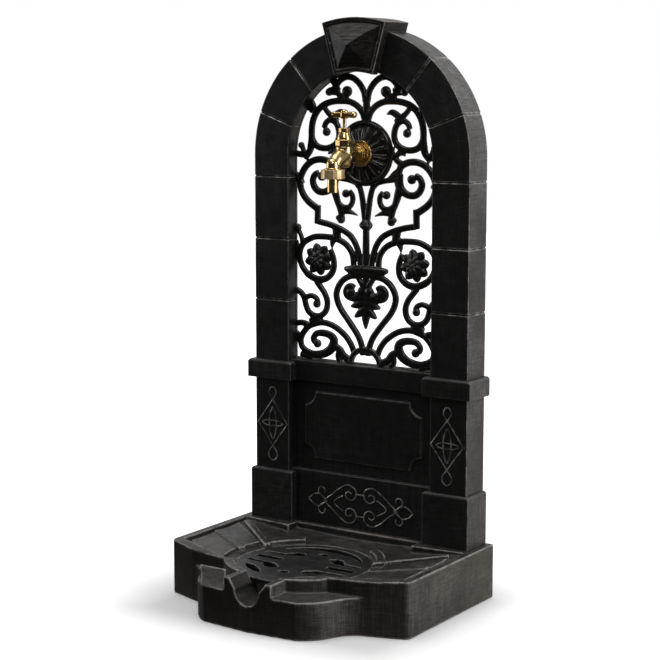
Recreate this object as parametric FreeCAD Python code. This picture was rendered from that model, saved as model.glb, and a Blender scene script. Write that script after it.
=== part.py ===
import FreeCAD, Part
import math
import os

# Garden wall fountain: a cast standpost with a pierced scroll panel, a brass bib tap and a tray
# with a lift-out grate. Millimetres, +Z up. Everything is drawn with y = 0 on the face of the
# frame, -Y to the front, and save() moves it so that the origin lies on the ground under the
# middle of the whole fountain.

V = FreeCAD.Vector

# Overall sizes
base_width = 440.0
front_reach = 303.0
frame_depth = 55.0
base_height = 86.0
face_to_middle = (front_reach + frame_depth) / 2 - frame_depth

# Frame: two pilasters and a round arch, cast as one hollow-backed channel
frame_half = 200.0
opening_half = 134.0
spring_z = 688.0
web = 7.0
wall = 6.0
reveal_depth = 22.0
foot_plate = 8.0
groove_wide = 2.4
groove_deep = 1.8
block_joints = [452.0, 552.0, 653.0]
voussoir_angles = [20.0, 49.5]
crown_z = spring_z + frame_half

# Cornice blocks and plinth blocks on the pilasters
cornice_low = 322.0
cornice_top = 352.0
cornice_proud = 9.0
plinth_top = 170.0
plinth_proud = 6.0
block_lap = 10.0
block_chamfer = 3.0

# Engraved lozenge on each pilaster
lozenge_z = 247.0
lozenge_half_wide = 26.0
lozenge_half_high = 39.0
engrave_wide = 1.8
engrave_deep = 1.2

# Keystone
key_angle = 15.7
key_bottom_z = 819.0
key_rise = 15.0
key_front = 15.0
key_border = 6.5
key_recess = 2.5
key_point = 32.0
key_point_z = 862.0

# Apron between the pilasters
apron_gap = 0.5
apron_wall = 6.0
plinth_face = 9.0
plaque_field = 16.0
band_face = 8.0
band_top = 355.0
plaque_wide = 223.0
plaque_high = 110.0
plaque_raise = 3.0
plaque_z = 249.0
plaque_scoop = 22.0
scroll_z = 130.0
tab_wide = 14.0
tab_low = 106.0

# Scroll panel
panel_thick = 5.0
panel_low = 343.0
sill_z = 358.0
rim_lap = 16.0
bar = 4.4
stem = 4.8
thin_bar = 3.8
knob_z = 579.0
bead_proud = 8.0
collar_low = 495.0
collar_proud = 5.0
flower_x = 90.5
flower_z = 520.0
flower_r = 26.0
petals = 8
petal_thick = 1.6
button_r = 4.5

# Tap, on its inlet axis and its spindle axis
tap_z = 693.0
tap_gap = 0.08
spindle_y = -38.5
outlet_y = -70.5
tail_r = 11.2
inlet_r = 10.4
tail_end = 52.0
back_washer_thick = 2.0
back_nut_thick = 7.0
rosette_r = 46.0
rosette_thick = 11.0
rosette_rim_r = 52.0
rosette_rim_thick = 4.0
pleats = 16
flange_thick = 6.0
flange_r = 20.5
chamber_r = 13.0
chamber_bore = 10.0
chamber_top = 705.0
seat_top = 691.0
seat_bore = 5.0
seal_thick = 1.5
jumper_washer_thick = 3.0
jumper_disc_thick = 3.0
jumper_pin_r = 2.0
jumper_pin_top = 708.0
spindle_low = 697.3
bonnet_top = 727.0
thread_r = 4.5
stem_r = 3.0
packing_r = 6.0
gland_r = 7.75
tee_z = 754.0
tee_half = 21.5
lift = 4.0
outlet_r = 13.0
spout_r = 9.5
bend_z = 679.0
nut_r = 18.0
nut_low = 657.0
nut_high = 671.0
nozzle_r = 8.5
nozzle_neck_r = 8.2
nozzle_bore = 6.0
nozzle_low = 636.0

# Base casting and tray
skirt_wall = 7.0
ledge_z = 57.0
rim_wall_r = 121.0
rim_wall_z = 78.5
rim_wide = 13.0
drain_y = -151.0
grate_r = 106.0
grate_gap = 1.5
grate_thick = 8.0
grate_top = 69.0
sump_r = 97.0
sump_floor = 36.0
dish_low = 68.5
dish_slope = 0.09
pad_raise = 5.5
rib_raise = 8.0
rib_wide = 12.0
spout_half = 43.0
spout_z = 77.0
notch_r = 22.0
notch_z = 62.0
notch_flare = 33.0

# Fasteners
frame_bolt_r = 4.0
screw_r = 2.5
hole_gap = 0.3
frame_washer_thick = 1.6
frame_nut_thick = 6.5
bolt_head_thick = 5.3
bolt_hex = 13.0


def box(x0, x1, y0, y1, z0, z1):
    return Part.makeBox(x1 - x0, y1 - y0, z1 - z0, V(x0, y0, z0))


def both(shape):
    """The shape and its mirror image across x = 0."""
    return [shape, shape.mirror(V(0, 0, 0), V(1, 0, 0))]


def fuse(shapes):
    return shapes[0].multiFuse(shapes[1:]).removeSplitter()


def rod(radius, start, end):
    """A cylinder between two points."""
    line = end - start
    return Part.makeCylinder(radius, line.Length, start, line)


def outline(points, at):
    """A closed wire: a point is (u, v), an arc is (u through, v through, u end, v end)."""
    edges = []
    last = at(*points[0])
    for step in points[1:] + [points[0]]:
        end = at(*step[-2:])
        if len(step) == 4:
            edges.append(Part.Arc(last, at(*step[:2]), end).toShape())
        elif end.distanceToPoint(last) > 1e-6:
            edges.append(Part.LineSegment(last, end).toShape())
        last = end
    return Part.Wire(edges)


def upright(points, y0, y1):
    """An outline in x and z, drawn out from y0 to y1."""
    wire = outline(points, lambda x, z: V(x, y0, z))
    return Part.Face(wire).extrude(V(0, y1 - y0, 0))


def flat(points, z0, z1):
    """An outline in x and y, drawn up from z0 to z1."""
    wire = outline(points, lambda x, y: V(x, y, z0))
    return Part.Face(wire).extrude(V(0, 0, z1 - z0))


def turned(points, centre, axis):
    """A profile of (radius, height) points turned about an axis."""
    face = Part.Face(outline(points, lambda r, h: V(r, 0, h)))
    solid = face.revolve(V(0, 0, 0), V(0, 0, 1), 360)
    solid.Placement = FreeCAD.Placement(centre, FreeCAD.Rotation(V(0, 0, 1), axis))
    return solid


def prism(sides, across_flats, start, axis, height):
    """A nut or a hexagon: a regular prism by its width across flats."""
    radius = across_flats / 2 / math.cos(math.pi / sides)
    points = []
    for k in range(sides):
        turn = 2 * math.pi * (k + 0.5) / sides
        points.append(V(radius * math.cos(turn), radius * math.sin(turn), 0))
    solid = Part.Face(Part.makePolygon(points + points[:1])).extrude(V(0, 0, height))
    solid.Placement = FreeCAD.Placement(start, FreeCAD.Rotation(V(0, 0, 1), axis))
    return solid


def save(name, shape):
    solid = shape.copy()
    solid.translate(V(0, face_to_middle, 0))
    solid.exportStep(os.path.join("parts", name + ".step"))


def arch(half, foot_z, y0, y1):
    """A round-headed block: straight sides up to the spring line, then a half circle."""
    crown = spring_z + half
    return upright([(-half, foot_z), (half, foot_z), (half, spring_z), (0, crown, -half, spring_z)],
                   y0, y1)


def screw_places():
    """Where the scroll panel and the apron are screwed to the frame: x and z."""
    lap = opening_half + rim_lap / 2 + 2
    panel = [(lap, z) for z in (380.0, 520.0, 640.0)]
    panel.append((lap * math.cos(math.radians(38)), spring_z + lap * math.sin(math.radians(38))))
    apron = [(lap, z) for z in (125.0, 215.0, 305.0)]
    return panel, apron


def key_screw_places():
    return [(-18.0, 850.0), (18.0, 850.0)]


def bolt_places():
    middle = (opening_half + wall + frame_half - wall) / 2
    depth = (web + frame_depth) / 2
    return [(side * middle + step, depth) for side in (-1, 1) for step in (-15.0, 15.0)]


def frame():
    inner = opening_half + wall
    outer = frame_half - wall
    hollow = arch(outer, base_height + foot_plate, web, frame_depth + 1)
    core = arch(inner, base_height, web, frame_depth + 1)
    opening = arch(opening_half, base_height - 1, -20, frame_depth + 1)
    face = arch(frame_half, base_height, 0, frame_depth)
    lining = arch(inner, base_height, web, reveal_depth)

    blocks = []
    for low, top, proud, wide in ((cornice_low, cornice_top, cornice_proud, cornice_proud + 0.5),
                                  (base_height, plinth_top, plinth_proud, plinth_proud)):
        block = box(opening_half, frame_half + wide, -proud, frame_depth, low, top)
        lap = box(opening_half - block_lap, opening_half, -proud, band_face, low, top)
        block = fuse([block, lap])
        top_edges = [e for e in block.Edges
                     if abs(e.BoundBox.ZMin - top) < 0.01 and abs(e.BoundBox.YMax + proud) < 0.01]
        blocks.extend(both(block.makeChamfer(block_chamfer, top_edges)))

    shell = fuse([face] + blocks).cut(hollow).cut(core)
    body = fuse([shell.cut(opening.common(box(-inner, inner, 0, frame_depth, 0, crown_z))),
                 lining.cut(opening)])

    panel, apron = screw_places()
    bosses = []
    for x, z in panel + apron:
        bosses.extend(both(rod(5.5, V(x, web - 1, z), V(x, reveal_depth, z))))
    body = fuse([body] + bosses)

    cuts = []
    for z in block_joints:
        cuts.extend(both(joint_cut(frame_half - opening_half, V(opening_half, 0, z), 0)))
    for angle in voussoir_angles:
        turn = math.radians(angle)
        start = V(opening_half * math.cos(turn), 0, spring_z + opening_half * math.sin(turn))
        cuts.extend(both(joint_cut(frame_half - opening_half, start, angle)))
    for x, z in panel + apron:
        cuts.extend(both(rod(screw_r, V(x, web, z), V(x, reveal_depth + 1, z))))
    for x, z in key_screw_places():
        cuts.append(rod(screw_r + hole_gap, V(x, -1, z), V(x, web + 1, z)))
    for x, y in bolt_places():
        plate_top = base_height + foot_plate
        cuts.append(rod(frame_bolt_r + hole_gap, V(x, y, base_height - 1), V(x, y, plate_top + 1)))
    cuts.extend(lozenges())
    return body.cut(cuts)


def joint_cut(length, start, angle):
    """The groove between two blocks, on the face, in the reveal and on the outer side."""
    slab = box(-1, length + 1, -1, frame_depth + 1, -groove_wide / 2, groove_wide / 2)
    core = box(groove_deep, length - groove_deep, groove_deep, frame_depth + 2, -groove_wide, groove_wide)
    groove = slab.cut(core)
    groove.rotate(V(0, 0, 0), V(0, 1, 0), -angle)
    groove.translate(start)
    return groove


def line_cut(route, depth, wide=engrave_wide):
    """An engraved line along (x, z) points, cut into a face at the given y."""
    pieces = []
    for (x0, z0), (x1, z1) in zip(route, route[1:]):
        length = math.hypot(x1 - x0, z1 - z0)
        piece = box(-wide / 2, length + wide / 2, depth - 1, depth + engrave_deep, -wide / 2, wide / 2)
        piece.rotate(V(0, 0, 0), V(0, 1, 0), -math.degrees(math.atan2(z1 - z0, x1 - x0)))
        piece.translate(V(x0, 0, z0))
        pieces.append(piece)
    return pieces


def ring_cut(x, z, radius, depth):
    outer = rod(radius + engrave_wide / 2, V(x, depth - 1, z), V(x, depth + engrave_deep, z))
    inner = rod(radius - engrave_wide / 2, V(x, depth - 2, z), V(x, depth + engrave_deep + 1, z))
    return outer.cut(inner)


def lozenges():
    """A lozenge with a small ring above and below it on each pilaster."""
    x = (opening_half + frame_half) / 2
    top = lozenge_z + lozenge_half_high
    low = lozenge_z - lozenge_half_high
    sides = [(x, top), (x + lozenge_half_wide, lozenge_z), (x, low), (x - lozenge_half_wide, lozenge_z),
             (x, top)]
    cuts = line_cut(sides, 0)
    cuts.append(ring_cut(x, top + 12, 7.0, 0))
    cuts.append(ring_cut(x, low - 13, 8.0, 0))
    mirrored = []
    for cut in cuts:
        mirrored.extend(both(cut))
    return mirrored


def key_outline(inset=0.0):
    """The wedge of the keystone, drawn in by the same amount on every side."""
    turn = math.radians(key_angle)
    low = key_bottom_z + inset
    top = crown_z + key_rise - inset
    edge_low = (low - spring_z) * math.tan(turn) - inset / math.cos(turn)
    radius = frame_half + key_rise * 0.8 - inset
    edge_top = radius * math.sin(turn) - inset
    edge_z = spring_z + radius * math.cos(turn)
    return [(-edge_low, low), (edge_low, low), (edge_top, edge_z), (0, top, -edge_top, edge_z)]


def keystone():
    wedge = key_outline()
    front = upright(wedge, -key_front, 0)
    cap = upright(wedge, 0, frame_depth).cut(arch(frame_half, base_height, -1, frame_depth + 1))
    inset = key_outline(key_border)
    panel = upright(inset, -key_front - 1, -key_front + key_recess)
    corners = [V(x, -key_front + key_recess, z) for x, z in (p[-2:] for p in inset)]
    tip = V(0, -key_point, key_point_z)
    faces = [Part.Face(Part.makePolygon(corners[::-1] + corners[-1:]))]
    for a, b in zip(corners, corners[1:] + corners[:1]):
        faces.append(Part.Face(Part.makePolygon([a, b, tip, a])))
    point = Part.makeSolid(Part.makeShell(faces))
    if point.Volume < 0:
        point.reverse()
    body = fuse([fuse([front, cap]).cut(panel), point])
    holes = [rod(screw_r, V(x, -key_front + key_recess + 3, z), V(x, 1, z)) for x, z in key_screw_places()]
    return body.cut(holes)


def plaque_outline(wide, high, scoop):
    x = wide / 2
    z = high / 2
    bow = scoop * math.cos(math.pi / 4)
    return [(x - scoop, plaque_z - z), (x - bow, plaque_z - z + bow, x, plaque_z - z + scoop),
            (x, plaque_z + z - scoop), (x - bow, plaque_z + z - bow, x - scoop, plaque_z + z),
            (scoop - x, plaque_z + z), (bow - x, plaque_z + z - bow, -x, plaque_z + z - scoop),
            (-x, plaque_z - z + scoop), (bow - x, plaque_z - z + bow, scoop - x, plaque_z - z)]


def apron():
    half = opening_half - apron_gap
    back = apron_wall
    profile = [(plinth_face, base_height), (plinth_face + back, base_height),
               (plinth_face + back, plinth_top + 3 - back), (plaque_field + back, plinth_top + 3 - back),
               (plaque_field + back, cornice_low + back), (band_face + back, cornice_low + back),
               (band_face + back, band_top - back), (reveal_depth, band_top - back),
               (reveal_depth, band_top), (band_face, band_top), (band_face, cornice_low),
               (plaque_field, cornice_low), (plaque_field, plinth_top + 3), (plinth_face, plinth_top + 3)]
    wire = outline(profile, lambda y, z: V(-half, y, z))
    plate = Part.Face(wire).extrude(V(2 * half, 0, 0))
    plaque = upright(plaque_outline(plaque_wide, plaque_high, plaque_scoop),
                     plaque_field - plaque_raise, plaque_field)
    tab_back = reveal_depth + back
    tab_top = cornice_low + back
    tabs = both(box(half - tab_wide, half, plaque_field, tab_back, plinth_top + 3, tab_top))
    tabs.extend(both(box(half - tab_wide, opening_half + rim_lap, reveal_depth, tab_back, tab_low, tab_top)))
    body = fuse([plate, plaque] + tabs)
    cuts = []
    for x, z in screw_places()[1]:
        cuts.extend(both(rod(screw_r + hole_gap, V(x, reveal_depth - 1, z), V(x, tab_back + 1, z))))
    leaf = [(98.0, scroll_z), (81.0, scroll_z + 10), (66.0, scroll_z + 3), (45.0, scroll_z)]
    curl = [(66.0, scroll_z - 3), (46.0, scroll_z + 26), (28.0, scroll_z + 31), (10.0, scroll_z + 22)]
    for route in (leaf, curl):
        for flip in (1, -1):
            line = [(x, scroll_z + flip * (z - scroll_z)) for x, z in route]
            for cut in line_cut(line, plinth_face):
                cuts.extend(both(cut))
    for x, z, radius in ((69.0, 15.0, 7.5), (19.0, 14.0, 10.0)):
        for flip in (1, -1):
            cuts.extend(both(ring_cut(x, scroll_z + flip * z, radius, plinth_face)))
    return body.cut(cuts)


def turn_over(step, heading):
    """A direction mirrored across a step, as at the far end of an arc."""
    unit = V(step).normalize()
    return unit * (2 * unit.dot(heading)) - heading


def arcs_through(points):
    """Arcs through points, three at a time, so that their number is odd."""
    edges = []
    for start, middle, end in zip(points[:-2:2], points[1:-1:2], points[2::2]):
        if (middle - start).cross(end - middle).Length < 1.0:
            edges.append(Part.LineSegment(start, end).toShape())
        else:
            edges.append(Part.Arc(start, middle, end).toShape())
    return edges


def band(route, half=bar, ends=None):
    """A flat scroll along (x, z) points: its half width runs evenly from ends[0] to ends[1]."""
    first, last = ends or (half, half)
    points = [V(x, 0, z) for x, z in route]
    steps = [after - before for before, after in zip(points, points[1:])]
    headings = []
    for step, following in zip(steps, steps[1:]):
        share = following.Length / step.Length
        headings.append(step * share + following * (1 / share))
    headings.insert(0, turn_over(steps[0], headings[0]))
    headings.append(turn_over(steps[-1], headings[-1]))
    left, right = [], []
    for k, (point, heading) in enumerate(zip(points, headings)):
        wide = first + (last - first) * k / (len(points) - 1)
        side = V(-heading.z, 0, heading.x).normalize() * wide
        left.append(point + side)
        right.append(point - side)
    edges = arcs_through(left)
    edges.append(Part.LineSegment(left[-1], right[-1]).toShape())
    edges.extend(arcs_through(right[::-1]))
    edges.append(Part.LineSegment(right[0], left[0]).toShape())
    return Part.Face(Part.Wire(edges))


def ball(x, z, radius):
    return Part.Face(Part.Wire(Part.makeCircle(radius, V(x, 0, z), V(0, 1, 0))))


def leaf(*points):
    """A pointed shape through its corners."""
    corners = [V(x, 0, z) for x, z in points]
    return Part.Face(Part.makePolygon(corners + corners[:1]))


def upper_scrolls():
    """The scrolls above and beside the rosette, right half."""
    return [
        band([(2, 774), (4, 786), (9, 796), (16, 804), (25, 810), (36, 812), (47, 808), (55, 800), (56, 790),
              (50, 783), (40, 781)]),
        ball(36, 789, 8.5),
        band([(50, 788), (60, 790), (70, 789)], 6.0),
        ball(70, 788, 5.5),
        band([(56, 798), (62, 806), (66, 812)], 6.0),
        band([(3, 744), (8, 757), (18, 767), (32, 773), (48, 774), (64, 773), (80, 768), (93, 758),
              (101, 744), (104, 728), (103, 714), (95, 703), (83, 699), (70, 700), (58, 706), (52, 716),
              (52, 728), (57, 739), (67, 744), (76, 740), (80, 731)]),
        ball(75, 725, 6.5),
        band([(80, 764), (67, 752), (54, 742)], thin_bar),
        leaf((38, 755), (48, 760), (57, 757), (63, 748), (48, 751)),
        band([(104, 722), (106, 702), (118, 683)], thin_bar),
        band([(103, 706), (105, 696), (111, 690), (118, 691), (122, 700)], thin_bar),
        ball(124, 703, 5.0),
        band([(106, 694), (118, 688), (138, 690)]),
        band([(48, 706), (48, 694), (64, 678)], thin_bar),
        band([(62, 706), (62, 697), (55, 689)], thin_bar),
        leaf((57, 696), (66, 698), (72, 690), (64, 690), (57, 688)),
        band([(44, 652), (52, 660), (61, 667)], stem),
        band([(60, 663), (64, 673), (74, 679), (87, 681), (100, 679), (111, 673), (120, 663), (126, 650),
              (126, 636), (121, 624), (112, 614), (102, 607), (92, 602)], stem),
        leaf((87.5, 606), (96.5, 608), (97.5, 576), (88.5, 576)),
        band([(60, 662), (60, 650), (65, 639), (80, 630), (92, 631), (100, 638), (102, 647), (98, 656),
              (90, 660)], bar, (7.0, 4.4)),
        ball(84, 654, 7.2),
        band([(62, 642), (59, 630), (55, 617), (50, 605), (46, 588)], bar, (6.0, 4.6)),
        ball(47, 586, 6.5),
        leaf((47, 605), (30, 604), (16, 594), (32, 596), (47, 595)),
        band([(53, 611), (39, 605), (27, 612), (26, 625), (33, 633)], thin_bar),
        ball(38, 628, 6.4),
        band([(60, 655), (48, 652), (34, 650), (22, 647), (14, 640)], thin_bar),
        band([(20, 652), (13, 641), (8, 625), (5, 607), (2, 586)]),
    ]


def lower_scrolls():
    """The scrolls below the rosette, right half, without the heart."""
    return [
        band([(10, 512), (12, 526), (16, 540), (22, 552), (31, 562), (44, 569), (58, 574), (74, 578),
              (92, 581)]),
        band([(23, 512), (25, 529), (31, 540), (40, 548), (51, 553), (63, 556), (75, 557), (87, 557),
              (98, 556), (109, 552), (119, 546), (126, 536), (128, 522), (123, 507), (114, 496)]),
        band([(114, 496), (103, 490), (92, 487), (81, 488), (71, 493), (63, 503), (61, 515), (63, 526),
              (68, 538)], stem),
        band([(55, 554), (56, 564), (57, 573)], 6.5),
        leaf((54, 556), (68, 557), (69, 546), (65, 538), (60, 548)),
        band([(95, 484), (87, 475), (79, 465), (74, 453), (75, 441), (81, 432), (91, 427), (102, 428),
              (111, 434), (116, 444), (119, 455), (125, 463), (137, 469)]),
        band([(118, 455), (109, 459), (101, 459), (94, 455), (92, 448)], thin_bar),
        ball(94, 447, 6.2),
        ball(131, 570, 6.0),
        band([(130, 566), (124, 554), (122, 540)], thin_bar),
        band([(22, 372), (27, 384), (36, 396), (47, 405), (59, 412), (72, 416), (85, 417), (98, 414),
              (110, 409), (120, 399), (126, 387), (124, 375), (115, 368)]),
        band([(115, 368), (103, 364), (92, 364), (79, 367), (68, 374), (62, 383), (62, 392), (70, 398),
              (83, 400), (95, 398), (101, 391), (101, 387), (98, 383)], bar, (6.0, 4.0)),
        ball(93, 382, 6.6),
        band([(24, 356), (40, 372), (57, 384)], bar, (8.0, 4.5)),
        band([(36, 356), (47, 363), (57, 374)], bar, (7.0, 5.0)),
        band([(87, 424), (98, 422), (110, 416)], thin_bar),
        band([(110, 412), (124, 414), (138, 412)]),
        band([(100, 356), (112, 360), (126, 362)]),
        leaf((125, 548), (137, 556), (137, 524), (128, 520)),
        leaf((120, 656), (137, 668), (137, 640), (124, 636)),
        leaf((94, 758), (104, 784), (124, 764), (102, 744)),
        leaf((124, 396), (137, 404), (137, 378), (126, 380)),
    ]


def heart_bars():
    """The heart under the collar with the acanthus leaf in it, right half."""
    return [
        band([(30, 505), (38, 495), (47, 486), (54, 475), (56, 463), (52, 450), (45, 439), (35, 428),
              (24, 416), (14, 404), (8, 393), (6, 380), (5, 370)]),
        band([(6, 462), (16, 457), (27, 457), (35, 464), (37, 473), (31, 481), (23, 480)], thin_bar),
        ball(28, 471, 6.5),
        leaf((2, 492), (12, 482), (13, 468), (4, 474)),
        leaf((0, 478), (6, 476), (7, 460), (22, 456), (29, 446), (20, 445), (9, 446), (21, 431), (12, 432),
             (7, 436), (12, 423), (5, 425), (0, 411)),
    ]


def flower(x, z):
    """Two layers of pointed petals round a button."""
    solids = []
    back = reveal_depth + panel_thick
    for layer, reach in enumerate((flower_r, flower_r * 0.66)):
        star = []
        for k in range(petals):
            for share, step in ((1.0, 0.0), (0.64, 0.5)):
                turn = 2 * math.pi * (k + step + layer / 2) / petals
                star.append(V(x + reach * share * math.cos(turn), 0, z + reach * share * math.sin(turn)))
        front = reveal_depth - petal_thick * (layer + 1)
        face = Part.Face(Part.makePolygon(star + star[:1]))
        face.translate(V(0, front, 0))
        solids.append(face.extrude(V(0, back - front, 0)))
    solids.append(rod(button_r, V(x, reveal_depth - 3 * petal_thick, z), V(x, reveal_depth, z)))
    return fuse(solids)


def collar():
    """The cup on the middle stem that the lower scrolls grow from."""
    half = [(24, collar_low), (30, collar_low + 5), (41, collar_low + 12), (34, collar_low + 20)]
    points = [(-x, z) for x, z in half[::-1]] + half
    return upright(points, reveal_depth - collar_proud, reveal_depth + panel_thick)


def bead():
    """The faceted bead on the middle stem."""
    corners = [(-7, -9), (7, -9), (12, 0), (7, 9), (-7, 9), (-12, 0)]
    rings = []
    for y, size in ((reveal_depth + panel_thick, 1.0), (reveal_depth, 1.0), (reveal_depth - bead_proud, 0.5)):
        ring = [V(x * size, y, knob_z + z * size) for x, z in corners]
        rings.append(Part.makePolygon(ring + ring[:1]))
    return Part.makeLoft(rings, True, True)


def panel_rim():
    """The plain border behind the opening's edge, with the sill and the small arch on it."""
    back = reveal_depth + panel_thick
    opening = arch(opening_half, sill_z, reveal_depth - 1, back + 1)
    border = arch(opening_half + rim_lap, panel_low, reveal_depth, back).cut(opening)
    rings = []
    for half, high, extra in ((31.0, 27.0, 0), (22.5, 17.0, 1)):
        points = [(-half, sill_z), (half, sill_z), (0, sill_z + high, -half, sill_z)]
        rings.append(upright(points, reveal_depth - 2 - extra, back + extra))
    return [border, rings[0].cut(rings[1])]


def scroll_panel():
    back = reveal_depth + panel_thick
    faces = [
        leaf((-6.5, 735), (-6.5, 776), (0, 782), (6.5, 776), (6.5, 735)),
        leaf((-5.5, 512), (-5.5, 572), (5.5, 572), (5.5, 512)),
        leaf((-4.5, 470), (-4.5, 500), (4.5, 500), (4.5, 470)),
        ball(0, tap_z, rosette_r),
    ]
    for face in upper_scrolls() + lower_scrolls():
        faces.extend(both(face))
    scrolls = fuse([f.extrude(V(0, panel_thick, 0)) for f in faces])
    scrolls.translate(V(0, reveal_depth, 0))
    scrolls = scrolls.common(arch(opening_half + rim_lap - 2, panel_low, reveal_depth - 1, back + 1))

    heart = []
    for face in heart_bars():
        heart.extend(both(face))
    heart = fuse([f.extrude(V(0, panel_thick + 1, 0)) for f in heart])
    heart.translate(V(0, reveal_depth - 1, 0))

    body = fuse([scrolls, heart, collar(), bead()] + panel_rim() + both(flower(flower_x, flower_z)))
    cuts = [rod(tail_r + hole_gap, V(0, 0, tap_z), V(0, back + 1, tap_z))]
    for x, z in screw_places()[0]:
        cuts.extend(both(rod(screw_r + hole_gap, V(x, 0, z), V(x, back + 1, z))))
    return body.cut(cuts)


def rosette():
    """A round wall plate: a plain rim, and pleats that rise to a ring round the tap."""
    low = reveal_depth
    rings = []
    for y, high, deep in ((low - rosette_rim_thick, rosette_r, rosette_r - 4),
                          (low - rosette_thick, rosette_r * 0.62, rosette_r * 0.52)):
        star = []
        for k in range(2 * pleats):
            turn = math.pi * k / pleats
            radius = deep if k % 2 else high
            star.append(V(radius * math.cos(turn), y, tap_z + radius * math.sin(turn)))
        rings.append(Part.makePolygon(star + star[:1]))
    pleated = Part.makeLoft(rings, True, True)
    edge = [(0, 0), (rosette_rim_r, 0), (rosette_rim_r, rosette_rim_thick - 1.5),
            (rosette_rim_r - 1.5, rosette_rim_thick), (0, rosette_rim_thick)]
    plate = turned(edge, V(0, low, tap_z), V(0, -1, 0))
    hole = rod(tail_r + hole_gap, V(0, -20, tap_z), V(0, low + 1, tap_z))
    return fuse([pleated, plate]).cut(hole)


def flange_front():
    return reveal_depth - rosette_thick - flange_thick


def wall_flange():
    front = flange_front()
    collar = prism(8, 2 * flange_r, V(0, front, tap_z), V(0, 1, 0), flange_thick)
    cone = turned([(0, 0), (flange_r * 1.02, 0), (flange_r * 1.12, flange_thick), (0, flange_thick)],
                  V(0, front, tap_z), V(0, 1, 0))
    return collar.common(cone).cut(rod(tail_r + hole_gap, V(0, front - 1, tap_z), V(0, 30, tap_z)))


def nut_rear():
    """How far back the nut behind the panel reaches."""
    return reveal_depth + panel_thick + back_washer_thick + back_nut_thick


def tap_body():
    front = flange_front()
    axis_top = V(0, spindle_y, chamber_top)
    shank_end = nut_rear() + 1
    tail = rod(tail_r, V(0, front, tap_z), V(0, shank_end, tap_z))
    free_end = rod(inlet_r, V(0, front, tap_z), V(0, tail_end, tap_z))
    shoulder = prism(6, 27.0, V(0, front - 7, tap_z), V(0, 1, 0), 7)
    lean = V(0, spindle_y - front + 6, -4)
    neck = Part.makeCone(10.5, 13.5, lean.Length, V(0, front - 6, tap_z), lean)
    chamber = turned([(0, -33), (7, -32), (chamber_r - 2, -27), (chamber_r, -20), (chamber_r, 0), (0, 0)],
                     axis_top, V(0, 0, 1))
    high = V(0, spindle_y, chamber_top - spout_r - 0.5)
    bend = V(0, outlet_y, bend_z)
    spout = rod(spout_r, high, bend)
    knee = Part.makeSphere(spout_r + 0.5, bend)
    drop = rod(spout_r + 0.5, V(0, outlet_y, nut_high), bend)
    thread = rod(outlet_r - tap_gap, at_outlet(nut_low + 7), at_outlet(nut_high + 2))
    body = fuse([tail, free_end, shoulder, neck, chamber, spout, knee, drop, thread])

    inlet = rod(nozzle_bore, V(0, spindle_y + 22, tap_z), V(0, tail_end + 1, tap_z))
    run = rod(4.5, V(0, spindle_y, seat_top - 11), V(0, spindle_y + 24, tap_z - 3))
    below = rod(nozzle_bore, V(0, spindle_y, seat_top - 14), V(0, spindle_y, seat_top - 4))
    seat = rod(seat_bore, V(0, spindle_y, seat_top - 5), V(0, spindle_y, seat_top + 1))
    upper = rod(chamber_bore, V(0, spindle_y, seat_top), V(0, spindle_y, chamber_top + 1))
    out = rod(nozzle_bore, high + V(0, -8, 0) + (bend - high) * 0.05, bend)
    turn = Part.makeSphere(nozzle_bore, bend)
    fall = rod(nozzle_bore, at_outlet(nut_low), bend)
    return body.cut([inlet, run, below, seat, upper, out, turn, fall])


def at_spindle(z):
    return V(0, spindle_y, z)


def bonnet_washer():
    ring = rod(chamber_r - 0.5, at_spindle(chamber_top), at_spindle(chamber_top + seal_thick))
    return ring.cut(rod(chamber_bore, at_spindle(chamber_top - 1), at_spindle(chamber_top + 5)))


def bonnet():
    low = chamber_top + seal_thick
    male = rod(chamber_bore - tap_gap, at_spindle(chamber_top - 3.5), at_spindle(low))
    hexagon = prism(6, 24.0, at_spindle(low), V(0, 0, 1), 9)
    dome = turned([(0, 0), (11.5, 0), (11.0, 4), (8.5, bonnet_top - low - 9), (0, bonnet_top - low - 9)],
                  at_spindle(low + 9), V(0, 0, 1))
    neck = rod(packing_r + 0.8, at_spindle(bonnet_top), at_spindle(bonnet_top + 4))
    thread = rod(thread_r + tap_gap, at_spindle(chamber_top - 6), at_spindle(bonnet_top - 2))
    box_bore = rod(packing_r - 0.5, at_spindle(bonnet_top), at_spindle(bonnet_top + 5))
    stem_bore = rod(stem_r + tap_gap, at_spindle(bonnet_top - 3), at_spindle(bonnet_top + 1))
    return fuse([male, hexagon, dome, neck]).cut([thread, box_bore, stem_bore])


def gland_packing():
    ring = rod(packing_r - 0.5, at_spindle(bonnet_top), at_spindle(bonnet_top + 2.5))
    return ring.cut(rod(stem_r + tap_gap, at_spindle(bonnet_top - 1), at_spindle(bonnet_top + 4)))


def gland_nut():
    top = bonnet_top + 7
    nut = prism(6, 2 * gland_r, at_spindle(bonnet_top), V(0, 0, 1), 7)
    nut = nut.common(turned([(0, 0), (gland_r + 1, 0), (gland_r + 1, 6), (gland_r - 0.5, 7), (0, 7)],
                            at_spindle(bonnet_top), V(0, 0, 1)))
    inside = rod(packing_r + 0.8, at_spindle(bonnet_top - 1), at_spindle(bonnet_top + 4))
    return nut.cut([inside, rod(stem_r + tap_gap, at_spindle(bonnet_top), at_spindle(top + 1))])


def spindle():
    screw = rod(thread_r, at_spindle(spindle_low), at_spindle(bonnet_top - 3 - lift - 0.5))
    stem_part = rod(stem_r, at_spindle(spindle_low), at_spindle(tee_z + 4))
    bore = rod(jumper_pin_r + tap_gap, at_spindle(spindle_low - 1), at_spindle(jumper_pin_top + 1))
    return fuse([screw, stem_part]).cut(bore)


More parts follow.
